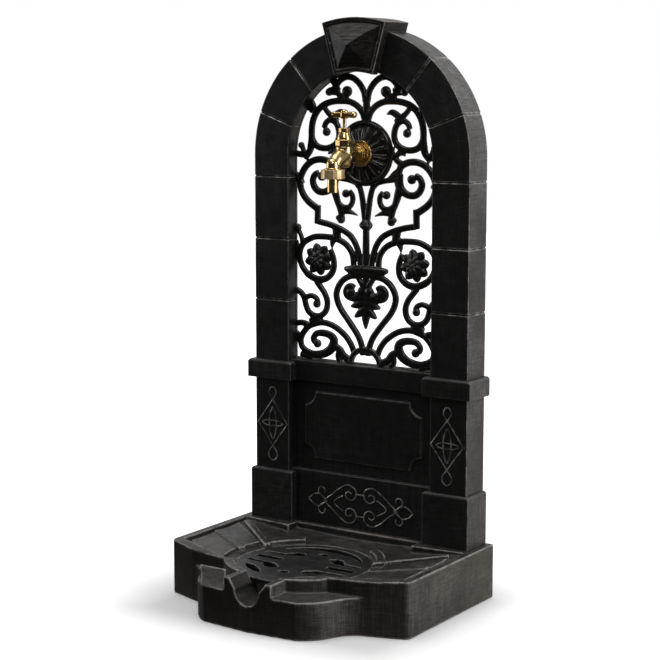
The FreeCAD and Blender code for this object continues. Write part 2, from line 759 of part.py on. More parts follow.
def jumper_washer():
    ring = rod(7.5, at_spindle(seat_top), at_spindle(seat_top + jumper_washer_thick))
    top = seat_top + jumper_washer_thick
    return ring.cut(rod(jumper_pin_r, at_spindle(seat_top - 1), at_spindle(top + 1)))


def jumper_valve():
    disc_low = seat_top + jumper_washer_thick
    disc = rod(8.0, at_spindle(disc_low), at_spindle(disc_low + jumper_disc_thick))
    pin = rod(jumper_pin_r, at_spindle(seat_top), at_spindle(jumper_pin_top))
    return fuse([disc, pin])


def tee_handle():
    hub = turned([(0, -6), (5.0, -6), (6.0, -3), (6.0, 3), (5.5, 4), (0, 4)], at_spindle(tee_z), V(0, 0, 1))
    arm = [(0, 0), (4.0, 0), (3.8, 9), (4.4, 13), (5.3, 17), (4.6, 20.5), (2.0, tee_half), (0, tee_half)]
    right = turned(arm, at_spindle(tee_z), V(1, 0, 0))
    left = turned(arm, at_spindle(tee_z), V(-1, 0, 0))
    return fuse([hub, right, left]).cut(rod(stem_r, at_spindle(tee_z - 9), at_spindle(tee_z + 9)))


def handle_screw():
    top = tee_z + 4
    dome = [(0, 0), (5.5, 0), (5.2, 2.0), (3.2, 3.6), (0, 4.2)]
    return turned(dome, at_spindle(top), V(0, 0, 1))


def at_outlet(z):
    return V(0, outlet_y, z)


def outlet_nut():
    body = prism(16, 2 * nut_r, at_outlet(nut_low), V(0, 0, 1), nut_high - nut_low)
    thread = rod(outlet_r, at_outlet(nut_low + 3), at_outlet(nut_high + 1))
    lip = rod(nozzle_r + hole_gap, at_outlet(nut_low - 1), at_outlet(nut_low + 4))
    return body.cut([thread, lip])


def hose_tail():
    flange = rod(outlet_r - 0.6, at_outlet(nut_low + 3), at_outlet(nut_low + 5))
    neck = rod(nozzle_neck_r, at_outlet(nozzle_low), at_outlet(nut_low + 4))
    nozzle = rod(nozzle_r, at_outlet(nozzle_low), at_outlet(nut_low - 0.5))
    bore = rod(nozzle_bore, at_outlet(nozzle_low - 1), at_outlet(nut_low + 6))
    return fuse([flange, neck, nozzle]).cut(bore)


def hose_washer():
    ring = rod(outlet_r - 0.6, at_outlet(nut_low + 5), at_outlet(nut_low + 7))
    return ring.cut(rod(nozzle_bore, at_outlet(nut_low + 4), at_outlet(nut_low + 8)))


def back_washer():
    back = reveal_depth + panel_thick
    ring = rod(16.0, V(0, back, tap_z), V(0, back + back_washer_thick, tap_z))
    return ring.cut(rod(tail_r + hole_gap, V(0, back - 1, tap_z), V(0, back + 3, tap_z)))


def back_nut():
    back = nut_rear() - back_nut_thick
    nut = prism(6, 30.0, V(0, back, tap_z), V(0, 1, 0), back_nut_thick)
    return nut.cut(rod(tail_r, V(0, back - 1, tap_z), V(0, nut_rear() + 1, tap_z)))


def pan_screw(x, head_y, z, length):
    """A screw whose head lies behind head_y and whose shank runs forward."""
    shank = rod(screw_r, V(x, head_y, z), V(x, head_y - length, z))
    head = rod(4.6, V(x, head_y, z), V(x, head_y + 3.0, z))
    return fuse([shank, head])


def panel_screws():
    screws = []
    for x, z in screw_places()[0]:
        screws.extend(both(pan_screw(x, reveal_depth + panel_thick, z, panel_thick + 10)))
    return Part.makeCompound(screws)


def apron_screws():
    screws = []
    for x, z in screw_places()[1]:
        screws.extend(both(pan_screw(x, reveal_depth + apron_wall, z, apron_wall + 10)))
    return Part.makeCompound(screws)


def keystone_screws():
    length = web + key_front - key_recess - 3.5
    return Part.makeCompound([pan_screw(x, web, z, length) for x, z in key_screw_places()])


def plate_under():
    """The height of the underside of the base plate where the frame stands."""
    return base_height - skirt_wall


def frame_washers():
    rings = []
    for x, y in bolt_places():
        for z in (base_height + foot_plate, plate_under() - frame_washer_thick):
            ring = rod(9.0, V(x, y, z), V(x, y, z + frame_washer_thick))
            rings.append(ring.cut(rod(frame_bolt_r + hole_gap, V(x, y, z - 1), V(x, y, z + 3))))
    return Part.makeCompound(rings)


def frame_bolts():
    bolts = []
    for x, y in bolt_places():
        seat = base_height + foot_plate + frame_washer_thick
        head = prism(6, bolt_hex, V(x, y, seat), V(0, 0, 1), bolt_head_thick)
        end = plate_under() - frame_washer_thick - frame_nut_thick - 2.5
        shank = rod(frame_bolt_r, V(x, y, end), V(x, y, seat + 1))
        bolts.append(fuse([head, shank]))
    return Part.makeCompound(bolts)


def frame_nuts():
    nuts = []
    for x, y in bolt_places():
        top = plate_under() - frame_washer_thick
        low = top - frame_nut_thick
        nut = prism(6, bolt_hex, V(x, y, low), V(0, 0, 1), frame_nut_thick)
        nuts.append(nut.cut(rod(frame_bolt_r, V(x, y, low - 1), V(x, y, top + 1))))
    return Part.makeCompound(nuts)


def foot_outline(inset=0.0):
    """The outline on the ground: square back, soft corners and an ogee lobe in front."""
    half = base_width / 2 - inset
    back = frame_depth - inset
    right = [(half, back), (half, -193.0 + inset * 0.4),
             (half - 3, -200.0 + inset * 0.7, half - 10, -204.0 + inset),
             (165.0 - inset * 0.2, -219.0 + inset),
             (140.0 - inset * 0.7, -230.0 + inset * 0.7, 123.0 - inset, -253.0 + inset * 0.4),
             (108.0 - inset, -278.0 + inset * 0.5, 84.0 - inset * 0.5, -296.0 + inset),
             (0, -front_reach + inset)]
    return mirror_outline(right)


def top_outline(inset=0.0):
    """The outline of the tray: the shoulders run in to the round wall about the grate."""
    half = base_width / 2 - inset
    back = frame_depth - inset
    reach = rim_wall_r - inset
    turn = math.radians(40)
    join = (reach * math.cos(turn) + 3, drain_y - reach * math.sin(turn))
    right = [(half, back), (half, -193.0 + inset * 0.4),
             (half - 3, -200.0 + inset * 0.7, half - 10, -204.0 + inset),
             (165.0 - inset * 0.2, -219.0 + inset), join,
             (reach * 0.5, drain_y - reach * math.sin(math.radians(60)), 0, drain_y - reach)]
    return mirror_outline(right)


def mirror_outline(right):
    """Closes an outline whose right half runs from the back to the middle of the front."""
    left = []
    for k in range(len(right) - 1, 0, -1):
        step = right[k]
        end = right[k - 1][-2:]
        if len(step) == 4:
            left.append((-step[0], step[1], -end[0], end[1]))
        else:
            left.append((-end[0], end[1]))
    return right + left


def rib(start, end, wide):
    """The plan of a straight rib from one point to another."""
    length = math.hypot(end[0] - start[0], end[1] - start[1])
    side = ((start[1] - end[1]) / length * wide / 2, (end[0] - start[0]) / length * wide / 2)
    return [(start[0] + side[0], start[1] + side[1]), (end[0] + side[0], end[1] + side[1]),
            (end[0] - side[0], end[1] - side[1]), (start[0] - side[0], start[1] - side[1])]


def ring_rib(inner, outer, first, last, sign):
    """The plan of a rib that bends round the grate, between two angles."""
    points = []
    middle = (first + last) / 2
    for radius, turns in ((inner, (first, middle, last)), (outer, (last, middle, first))):
        (x0, y0), (x1, y1), (x2, y2) = [(sign * radius * math.cos(math.radians(t)),
                                         drain_y + radius * math.sin(math.radians(t))) for t in turns]
        points.extend([(x0, y0), (x1, y1, x2, y2)])
    return points


def above_dish(rise):
    """All that lies above the tray's dished floor, which falls to the grate from every side."""
    far = 330.0
    near = grate_r + grate_gap
    low = dish_low + rise
    cone = turned([(0, low), (near, low), (far, low + dish_slope * (far - near)), (far, 140), (0, 140)],
                  V(0, drain_y, 0), V(0, 0, 1))
    return cone


def tray_cuts():
    """The dished floor, with raised slabs and ribs that follow its fall."""
    side = base_width / 2 - rim_wide
    front = -206.0
    region = flat([(side, -18.0), (side, -186.0), (160.0, front), (100.0, front - 16), (60.0, front - 20),
                   (-60.0, front - 20), (-100.0, front - 16), (-160.0, front), (-side, -186.0),
                   (-side, -18.0),
                   (-(opening_half - 17), -26.0), (-(opening_half - 17), -1.0), (opening_half - 17, -1.0),
                   (opening_half - 17, -26.0)], 40, 140)
    ring = rod(126.0, V(0, drain_y, 40), V(0, drain_y, 140))
    slabs = []
    ribs = []
    for sign in (-1, 1):
        slab = flat([(sign * 198, -52), (sign * 198, -178), (sign * 160, -199), (sign * 108, -214),
                     (sign * 108, -150), (sign * 104, -116)], 40, 140)
        slabs.append(slab.cut(ring))
        ribs.append(flat(rib((sign * 192, -38), (sign * 96, -112), rib_wide), 40, 140))
        ribs.append(flat(rib((sign * 198, -110), (sign * 118, -152), rib_wide), 40, 140))
        ribs.append(flat(ring_rib(111.0, 126.0, 22.0, 57.0, sign), 40, 140))
    slab_block = fuse(slabs)
    rib_block = fuse(ribs)
    floor = region.cut(slab_block).cut(rib_block).common(above_dish(0))
    slab_cut = region.common(slab_block).cut(rib_block).common(above_dish(pad_raise))
    rib_cut = region.common(rib_block).common(above_dish(rib_raise))
    return [floor, slab_cut, rib_cut]


def base_tray():
    skirt = flat(foot_outline(), 0, ledge_z)
    upper = flat(top_outline(), ledge_z - 1, base_height)
    spout = flat(foot_outline(), ledge_z - 1, spout_z).common(
        box(-spout_half, spout_half, -front_reach, drain_y - rim_wall_r + 20, 0, spout_z))
    body = fuse([skirt, upper, spout])

    front_high = 340.0
    slope_start = -203.0
    wedge = Part.Face(outline([(slope_start, base_height), (slope_start, base_height + 1),
                               (-front_high, base_height + 1), (-front_high, rim_wall_z),
                               (-235.0, rim_wall_z)], lambda y, z: V(-base_width, y, z)))
    wedge = wedge.extrude(V(2 * base_width, 0, 0))

    under = plate_under()
    lobe_room = flat(foot_outline(skirt_wall), -1, ledge_z - skirt_wall)
    tray_room = flat(top_outline(skirt_wall), -1, dish_low - 8)
    side = base_width / 2 - skirt_wall
    frame_room = box(-side, side, 2, frame_depth - skirt_wall, -1, under)
    pot = rod(sump_r + skirt_wall, V(0, drain_y, sump_floor - skirt_wall), V(0, drain_y, base_height))
    cheek = notch_r + skirt_wall
    chute = box(-cheek, cheek, -front_reach, drain_y, notch_z - cheek, 90)
    room = fuse([lobe_room, tray_room, frame_room]).cut([pot, chute])

    cuts = [wedge, room]
    cuts.extend(tray_cuts())
    cuts.append(rod(sump_r, V(0, drain_y, sump_floor), V(0, drain_y, base_height)))
    cuts.append(rod(grate_r + grate_gap, V(0, drain_y, grate_top - grate_thick), V(0, drain_y, 140)))
    notch = rod(notch_r, V(0, -front_reach - 5, notch_z), V(0, drain_y - 80, notch_z))
    flare = upright([(-notch_r, notch_z), (notch_r, notch_z), (notch_flare, spout_z), (notch_flare, 100),
                     (-notch_flare, 100), (-notch_flare, spout_z)], -front_reach - 5, drain_y - 90)
    cuts.extend([notch, flare])
    for x, y in bolt_places():
        cuts.append(rod(frame_bolt_r + hole_gap, V(x, y, under - 2), V(x, y, base_height + 1)))
    return body.cut(cuts)


def slot(*points):
    """A hole in the grate, by its corners about the grate's centre, drawn through its thickness."""
    corners = [(x, drain_y + y) for x, y in points]
    return flat(corners, grate_top - grate_thick - 1, grate_top + 1)


def grate_slots():
    slots = []
    diagonal = [(21, 38), (31, 47), (43, 45), (56, 30), (88, 28), (89, 20), (39, 23)]
    for flip in (1, -1):
        slots.extend(both(slot(*[(x, flip * y) for x, y in diagonal])))
        slots.append(slot((-9, flip * 55), (-5, flip * 61), (5, flip * 61), (9, flip * 55), (5, flip * 49),
                          (-5, flip * 49)))
    slots.extend(both(slot((42, -6), (90, -6), (91, 0), (90, 6), (42, 6))))
    corner = drain_y + 50
    rear = flat([(-74, corner), (0, drain_y + 92, 74, corner), (0, drain_y + 75, -74, corner)],
                grate_top - grate_thick - 1, grate_top + 1)
    slots.append(rear)
    front = flat([(28, drain_y - 77), (58, drain_y - 67, 78, drain_y - 45), (60, drain_y - 48),
                  (40, drain_y - 62)], grate_top - grate_thick - 1, grate_top + 1)
    slots.extend(both(front))
    return slots


def drain_grate():
    top = V(0, drain_y, grate_top)
    plate = rod(grate_r, V(0, drain_y, grate_top - grate_thick), top)
    under = rod(sump_r - 4, V(0, drain_y, grate_top - grate_thick - 1), V(0, drain_y, grate_top - 5))
    ribs = [box(-sump_r, sump_r, drain_y + y - 2, drain_y + y + 2, grate_top - grate_thick, grate_top - 4)
            for y in (-14, 14)]
    return fuse([plate.cut(under)] + ribs).cut(grate_slots())


pieces = {
    "base_tray": base_tray,
    "drain_grate": drain_grate,
    "frame": frame,
    "keystone": keystone,
    "apron": apron,
    "scroll_panel": scroll_panel,
    "rosette": rosette,
    "wall_flange": wall_flange,
    "tap_body": tap_body,
    "bonnet_washer": bonnet_washer,
    "bonnet": bonnet,
    "gland_packing": gland_packing,
    "gland_nut": gland_nut,
    "spindle": spindle,
    "jumper_valve": jumper_valve,
    "jumper_washer": jumper_washer,
    "tee_handle": tee_handle,
    "handle_screw": handle_screw,
    "outlet_nut": outlet_nut,
    "hose_tail": hose_tail,
    "hose_washer": hose_washer,
    "tap_washer": back_washer,
    "tap_back_nut": back_nut,
    "panel_screws": panel_screws,
    "apron_screws": apron_screws,
    "keystone_screws": keystone_screws,
    "frame_bolts": frame_bolts,
    "frame_washers": frame_washers,
    "frame_nuts": frame_nuts,
}

os.makedirs("parts", exist_ok=True)
for name, make in pieces.items():
    shape = make()
    save(name, shape)
    print(name, "solids", len(shape.Solids), "valid", shape.isValid(), "cm3", round(shape.Volume / 1000, 1))
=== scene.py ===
import math

import bmesh
import bpy
import numpy as np
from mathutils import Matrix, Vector, noise

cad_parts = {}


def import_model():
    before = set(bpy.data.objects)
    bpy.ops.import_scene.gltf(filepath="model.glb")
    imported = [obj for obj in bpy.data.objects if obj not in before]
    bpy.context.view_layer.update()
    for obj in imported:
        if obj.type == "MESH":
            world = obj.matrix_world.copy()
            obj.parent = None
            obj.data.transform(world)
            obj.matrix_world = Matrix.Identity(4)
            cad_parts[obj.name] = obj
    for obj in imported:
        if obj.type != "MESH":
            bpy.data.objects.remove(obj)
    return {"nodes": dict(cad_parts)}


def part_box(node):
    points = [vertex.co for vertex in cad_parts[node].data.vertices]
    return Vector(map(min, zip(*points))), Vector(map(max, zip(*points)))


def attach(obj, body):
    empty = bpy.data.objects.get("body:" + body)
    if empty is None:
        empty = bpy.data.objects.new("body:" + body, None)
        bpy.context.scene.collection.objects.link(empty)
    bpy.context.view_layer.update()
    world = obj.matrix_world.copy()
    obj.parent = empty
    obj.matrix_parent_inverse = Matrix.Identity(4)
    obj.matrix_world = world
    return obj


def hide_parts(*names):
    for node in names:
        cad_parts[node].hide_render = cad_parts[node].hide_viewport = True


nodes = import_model()["nodes"]
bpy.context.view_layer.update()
mm = 0.001
sides = (("Left", -1), ("Right", 1))
archDeep, springHigh, tapHigh = 55, 688, 693   # depth of the arch, height of its spring and of the tap
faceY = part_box("frame")[1].y - archDeep * mm   # the flat front of the arch lies at this y
print("frame loaded,", len(nodes), "nodes")


def at(x, y, z):   # a place in mm, y measured back from the front of the arch
    return Vector((x * mm, faceY + y * mm, z * mm))


# Mesh helpers

def placed(name, data):   # a new object in the scene
    obj = bpy.data.objects.new(name, data)
    bpy.context.scene.collection.objects.link(obj)
    return obj


def newPiece(name, verts, faces, weld=True):
    mesh = bpy.data.meshes.new(name)
    mesh.from_pydata([tuple(v) for v in verts], [], faces)
    obj = placed(name, mesh)
    bm = bmesh.new()
    bm.from_mesh(mesh)
    if weld:
        bmesh.ops.remove_doubles(bm, verts=bm.verts, dist=0.00002)
    bmesh.ops.recalc_face_normals(bm, faces=bm.faces)
    bm.to_mesh(mesh)
    bm.free()
    return obj


def settle(obj):   # makes the modifiers real
    graph = bpy.context.evaluated_depsgraph_get()
    mesh = bpy.data.meshes.new_from_object(obj.evaluated_get(graph))
    old = obj.data
    obj.modifiers.clear()
    obj.data = mesh
    bpy.data.meshes.remove(old)
    mesh.name = obj.name
    return obj


def joined(name, parts):
    verts, faces = [], []
    for part in parts:
        start = len(verts)
        verts.extend(v.co.copy() for v in part.data.vertices)
        faces.extend([start + k for k in p.vertices] for p in part.data.polygons)
        bpy.data.objects.remove(part)
    mesh = bpy.data.meshes.new(name)
    mesh.from_pydata(verts, [], faces)
    return placed(name, mesh)


def castAsOne(obj, voxel, smooth=2):   # one skin with soft corners, as a casting has
    skin = obj.modifiers.new("skin", "REMESH")
    skin.mode = "VOXEL"
    skin.voxel_size = voxel * mm
    skin.use_smooth_shade = True
    soft = obj.modifiers.new("soft", "SMOOTH")
    soft.factor, soft.iterations = 0.5, smooth
    return settle(obj)


def fromFrame(name, node, voxel, smooth, more=()):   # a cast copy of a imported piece
    obj = placed(name, nodes[node].data.copy())
    bm = bmesh.new()
    bm.from_mesh(obj.data)
    bmesh.ops.remove_doubles(bm, verts=bm.verts, dist=0.000002)
    bm.to_mesh(obj.data)
    bm.free()
    if more:
        obj = joined(name, [obj, *more])
    return castAsOne(obj, voxel, smooth)


def coat(mesh, material):
    mesh.materials.clear()
    mesh.materials.append(material)


def dress(obj, material, stands=(), body="standpost"):
    coat(obj.data, material)
    obj.data.shade_smooth()
    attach(obj, body)
    if stands:
        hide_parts(*stands)
    print(obj.name, len(obj.data.polygons), "faces")


def skinFaces(rings, across, ends=True):   # quads between rings of points, with a face on the first and last ring
    faces = []
    for k in range(rings - 1):
        for j in range(across):
            a, b = k * across + j, k * across + (j + 1) % across
            faces.append((a, b, b + across, a + across))
    last = (rings - 1) * across
    return faces + [tuple(range(across)), tuple(range(last, last + across))] if ends else faces


def hoopFaces(rings, across):   # the last ring is joined back to the first one
    last = (rings - 1) * across
    return skinFaces(rings, across, False) + [
        (last + j, last + (j + 1) % across, (j + 1) % across, j) for j in range(across)]


def spin(j, count):   # cosine and sine of a step round a circle
    turn = 2 * math.pi * j / count
    return math.cos(turn), math.sin(turn)


def ringOf(x, y, z, radius, count):   # points round a circle that faces the front
    return [at(x + radius * c, y, z + radius * s) for c, s in (spin(j, count) for j in range(count))]


def filleted(corners, steps):   # corners are (u, v, radius), each rounded by an arc
    points = []
    count = len(corners)
    for k, (u, v, radius) in enumerate(corners):
        here = Vector((u, v))
        back = Vector(corners[k - 1][:2]) - here
        ahead = Vector(corners[(k + 1) % count][:2]) - here
        if radius <= 0 or back.length < 1e-6 or ahead.length < 1e-6:
            points.append(here)
            continue
        reach = min(radius / max(math.tan(back.angle(ahead) / 2), 0.05), back.length * 0.49, ahead.length * 0.49)
        start, end = here + back.normalized() * reach, here + ahead.normalized() * reach
        for j in range(steps + 1):
            t = j / steps
            points.append(start.lerp(here, t).lerp(here.lerp(end, t), t))
    return points


def stepped(outline, stepOf):   # more points on a closed outline; stepOf gives their distance from a to b
    points = []
    for k, a in enumerate(outline):
        b = outline[(k + 1) % len(outline)]
        parts = max(1, math.ceil((b - a).length / stepOf(a, b)))
        points += [a.lerp(b, j / parts) for j in range(parts)]
    return points


def flow(route, step=2.5):   # a smooth line through points, with the share of the way at each
    pts = [Vector(p) for p in route]
    pts = [pts[0] * 2 - pts[1]] + pts + [pts[-1] * 2 - pts[-2]]
    line = []
    spans = len(pts) - 3
    for k in range(spans):
        p0, p1, p2, p3 = pts[k:k + 4]
        parts = max(2, math.ceil((p2 - p1).length / step))
        for j in range(parts):
            t = j / parts
            spot = 0.5 * (2 * p1 + (p2 - p0) * t + (2 * p0 - 5 * p1 + 4 * p2 - p3) * t * t
                          + (3 * p1 - p0 - 3 * p2 + p3) * t ** 3)
            line.append((spot, (k + t) / spans))
    line.append((pts[-2], 1.0))
    return line


def along(values, share):   # a value between evenly spread ones
    place = share * (len(values) - 1)
    k = min(int(place), len(values) - 2)
    return values[k] + (values[k + 1] - values[k]) * (place - k)


def block(name, plan, low, high, bevel):   # an upright block with soft edges, by its x, y plan
    count = len(plan)
    verts = [at(x, y, z) for z in (low, high) for x, y in plan]
    faces = [tuple(range(count)), tuple(range(count, 2 * count))]
    faces += [(k, (k + 1) % count, count + (k + 1) % count, count + k) for k in range(count)]
    obj = newPiece(name, verts, faces)
    soft = obj.modifiers.new("edges", "BEVEL")
    soft.width, soft.segments = bevel * mm, 3
    soft.limit_method = "ANGLE"
    return settle(obj)


def turnedPiece(name, profile, centre, axis, fillet, segments):   # a piece off the lathe
    points = filleted([(r, h, 0 if r == 0 else fillet) for r, h in profile], 3)
    turn = Vector((0, 0, 1)).rotation_difference(Vector(axis)).to_matrix()
    verts = []
    for p in points:
        for j in range(segments):
            c, s = spin(j, segments)
            verts.append(centre + turn @ Vector((p.x * c, p.x * s, p.y)) * mm)
    return newPiece(name, verts, skinFaces(len(points), segments, False))


def lineDistance(x, z, lines):   # how far each point of a grid is from the nearest drawn line
    near = np.full(x.shape, 1e9)
    for line in lines:
        for (x0, z0), (x1, z1) in zip(line, line[1:]):
            dx, dz = x1 - x0, z1 - z0
            share = np.clip(((x - x0) * dx + (z - z0) * dz) / max(dx * dx + dz * dz, 1e-9), 0, 1)
            near = np.minimum(near, np.hypot(x - x0 - share * dx, z - z0 - share * dz))
    return near


def carvedPiece(name, verts, faces, carved):   # carved is a value at each point, for the material
    obj = newPiece(name, verts, faces, weld=False)
    layer = obj.data.attributes.new("carved", "FLOAT", "POINT")
    layer.data.foreach_set("value", np.asarray(carved, dtype=np.float32))
    return obj


# Camera, light and floor

cameraPlan = {"place": (1.4681, -2.1566, 0.8062), "turn": 33.69, "tilt": 8.22, "lens": 94.23, "sensor": 36.0}
turn, tilt = math.radians(cameraPlan["turn"]), math.radians(cameraPlan["tilt"])
cameraData = bpy.data.cameras.new("camera")
cameraData.lens = cameraPlan["lens"]
cameraData.sensor_width = cameraPlan["sensor"]
cameraData.clip_end = 50
camera = placed("camera", cameraData)
camera.location = cameraPlan["place"]
ahead = Vector((-math.sin(turn) * math.cos(tilt), math.cos(turn) * math.cos(tilt), -math.sin(tilt)))
camera.rotation_euler = ahead.to_track_quat("-Z", "Y").to_euler()
bpy.context.scene.camera = camera
bpy.context.scene.view_settings.view_transform = "Standard"

lightPlan = {
    "behind": 0.55, "front": 0.03, "above": 0.12, "seen": 1.0,
    "lamps": [   # name, place, aim, size, watts
        ("sideLight", (2.4, 0.3, 1.0), (0.1, 0.0, 0.45), (1.2, 2.2), 34.0),
        ("keyLight", (1.1, -1.7, 2.2), (0.0, 0.0, 0.5), (0.7, 0.7), 10.0),
        ("leftLight", (-2.5, -0.5, 0.9), (0.0, 0.0, 0.4), (1.6, 1.2), 13.0),
        ("topLight", (-0.3, -0.3, 2.8), (0.0, -0.1, 0.1), (1.4, 1.4), 22.0),
    ]}


for name, place, aim, size, watts in lightPlan["lamps"]:
    data = bpy.data.lights.new(name, "AREA")
    data.shape = "RECTANGLE"
    data.size, data.size_y = size
    data.energy = watts
    lamp = placed(name, data)
    lamp.location = place
    lamp.rotation_euler = (Vector(aim) - Vector(place)).to_track_quat("-Z", "Y").to_euler()


def node(tree, kind, values=None, **settings):   # a shader node; a value is a number, a colour or another socket
    made = tree.nodes.new("ShaderNode" + kind)
    for key, value in settings.items():
        setattr(made, key, value)
    for key, value in (values or {}).items():
        if isinstance(value, bpy.types.NodeSocket):
            tree.links.new(value, made.inputs[key])
        else:
            made.inputs[key].default_value = value
    return made


def sums(tree, kind, a, b=0.0, clamp=False):
    return node(tree, "Math", {0: a, 1: b}, operation=kind, use_clamp=clamp).outputs[0]


def times(tree, a, b):
    return sums(tree, "MULTIPLY", a, b)


def lengthOf(tree, vector):
    return node(tree, "VectorMath", {0: vector}, operation="LENGTH").outputs["Value"]


def ramped(tree, value, low, high, start=0.0, end=1.0):
    return node(tree, "MapRange", {
        "Value": value, "From Min": low, "From Max": high, "To Min": start, "To Max": end}).outputs["Result"]


world = bpy.data.worlds.new("room")
world.use_nodes = True
bpy.context.scene.world = world
air = world.node_tree
air.nodes.clear()
way = node(air, "SeparateXYZ", {0: node(air, "TexCoord").outputs["Generated"]}).outputs
back = ramped(air, way["Y"], -0.25, 0.55, lightPlan["front"], lightPlan["behind"])
high = ramped(air, way["Z"], 0.2, 0.9, 0.0, lightPlan["above"])
light = node(air, "Background", {"Color": (1, 1, 1, 1), "Strength": sums(air, "ADD", back, high)})
seen = node(air, "Background", {"Color": (1, 1, 1, 1), "Strength": lightPlan["seen"]})
ray = node(air, "LightPath").outputs["Is Camera Ray"]
both = node(air, "MixShader", {0: ray, 1: light.outputs[0], 2: seen.outputs[0]})
node(air, "OutputWorld", {"Surface": both.outputs[0]})
print("camera and light ready")


# Shader groups

def newGroup(name, inputs, *outputs):   # a value in brackets is a colour, and so is an output called Colour
    tree = bpy.data.node_groups.new(name, "ShaderNodeTree")
    kinds = {True: "NodeSocketColor", False: "NodeSocketFloat"}
    for label, value in inputs.items():
        socket = tree.interface.new_socket(name=label, in_out="INPUT", socket_type=kinds[isinstance(value, tuple)])
        socket.default_value = value
    for label in outputs:
        tree.interface.new_socket(name=label, in_out="OUTPUT", socket_type=kinds[label == "Colour"])
    return tree, tree.nodes.new("NodeGroupInput").outputs, tree.nodes.new("NodeGroupOutput").inputs


def speckle(tree, place, scale, detail=3.0, rough=0.55):
    return node(tree, "TexNoise", {
        "Vector": place, "Scale": scale, "Detail": detail, "Roughness": rough}).outputs["Fac"]


def stretched(tree, place, x, y, z):
    return node(tree, "Mapping", {"Vector": place, "Scale": (x, y, z)}).outputs["Vector"]


def mixed(tree, share, first, second):
    return node(tree, "Mix", {0: share, 6: first, 7: second}, data_type="RGBA").outputs[2]


def onPiece(tree):   # a place in the piece's own frame
    return node(tree, "TexCoord").outputs["Object"]


def brushedEdges():   # silver rubbed on edges and carved lines, brush strokes on flats, and painted sheen: lighter silver on outer sides and upward faces, as if lit
    tree, given, result = newGroup("brushedEdges", {
        "Paint": (0.02, 0.018, 0.018, 1), "Metal": (0.3, 0.3, 0.3, 1), "Edge": 1.0, "Stroke": 0.3, "Side": 0.3,
        "Top": 0.3}, "Colour", "Mask", "Drawn")
    place = onPiece(tree)
    spot = node(tree, "SeparateXYZ", {0: place}).outputs
    shape = node(tree, "NewGeometry").outputs
    facing = node(tree, "SeparateXYZ", {0: shape["Normal"]}).outputs
    edge = ramped(tree, shape["Pointiness"], 0.512, 0.57)
    patch = ramped(tree, speckle(tree, place, 38.0, 4.0, 0.6), 0.34, 0.60, 0.1, 1.0)
    crumb = ramped(tree, speckle(tree, place, 420.0, 2.0, 0.6), 0.25, 0.62)
    rubbed = times(tree, edge, times(tree, patch, crumb))
    rubbed = times(tree, rubbed, given["Edge"])
    drawn = node(tree, "Attribute", attribute_name="carved").outputs["Fac"]
    drawn = times(tree, drawn, ramped(tree, speckle(tree, place, 75.0), 0.45, 0.62, 0.05, 1.15))
    above = sums(tree, "MAXIMUM", sums(tree, "SUBTRACT", spot["Z"], springHigh * mm), 0.0)
    bent = lengthOf(tree, node(tree, "CombineXYZ", {0: spot["X"], 1: above}).outputs[0])   # strokes follow the arch
    bent = node(tree, "CombineXYZ", {0: bent, 1: spot["Y"], 2: spot["Z"]}).outputs[0]
    upright = speckle(tree, stretched(tree, bent, 560.0, 560.0, 26.0), 1.0, 5.0, 0.75)
    level = speckle(tree, stretched(tree, place, 48.0, 48.0, 640.0), 1.0, 5.0, 0.75)
    weave = times(tree, sums(tree, "ADD", upright, level), 0.5)
    broad = ramped(tree, speckle(tree, place, 9.0), 0.35, 0.65, 0.3, 1.0)
    brush = times(tree, ramped(tree, weave, 0.46, 0.64), broad)
    # painted sheen and painted light: outward-facing sides and upward faces get lighter silver in brush streaks,
    # standing in for how the lamps fall on them
    outward = times(tree, facing["X"], sums(tree, "SIGN", spot["X"]))
    paintedSideSheen = times(tree, ramped(tree, outward, 0.25, 0.85), given["Side"])
    paintedTopLight = times(tree, ramped(tree, facing["Z"], 0.15, 0.70), given["Top"])
    share = times(tree, sums(tree, "ADD", paintedSideSheen, paintedTopLight), ramped(tree, weave, 0.40, 0.62, 0.1, 1.2))
    share = sums(tree, "ADD", times(tree, share, broad), times(tree, brush, given["Stroke"]))
    mask = sums(tree, "ADD", rubbed, share, True)
    paint = mixed(tree, mask, given["Paint"], given["Metal"])
    tree.links.new(mixed(tree, drawn, paint, (0.66, 0.645, 0.62, 1)), result["Colour"])
    tree.links.new(mask, result["Mask"])
    tree.links.new(drawn, result["Drawn"])
    return tree


def castGrain():   # the fine sand-cast skin
    tree, given, result = newGroup("castGrain", {"Sand": 1.0, "Lumps": 1.0}, "Height", "Tone")
    place = onPiece(tree)
    sand = speckle(tree, place, 900.0, 3.0, 0.7)
    lumps = speckle(tree, place, 85.0, 3.0, 0.5)
    height = sums(tree, "ADD", times(tree, sand, given["Sand"]), times(tree, lumps, given["Lumps"]))
    tree.links.new(height, result["Height"])
    tree.links.new(lumps, result["Tone"])
    return tree


edgeGroup = brushedEdges()
grainGroup = castGrain()


def newMaterial(name):
    material = bpy.data.materials.new(name)
    material.use_nodes = True
    material.node_tree.nodes.clear()
    return material, material.node_tree


def useGroup(tree, group, look, *labels):   # these inputs take their values from the look
    return node(tree, "Group", {label: look[label.lower()] for label in labels}, node_tree=group).outputs


def finish(tree, shader):
    node(tree, "OutputMaterial", {"Surface": shader.outputs[0]})


# Materials

# side sets the painted sheen on outer sides, top the painted light on upward faces
castingLook = {"paint": (0.0066, 0.0062, 0.0061, 1), "metal": (0.23, 0.222, 0.214, 1), "edge": 1.0, "stroke": 0.14,
               "side": 0.50, "top": 0.22, "rough": (0.34, 0.46), "level": 0.5, "sand": 0.35, "lumps": 0.8,
               "bump": 0.00020}


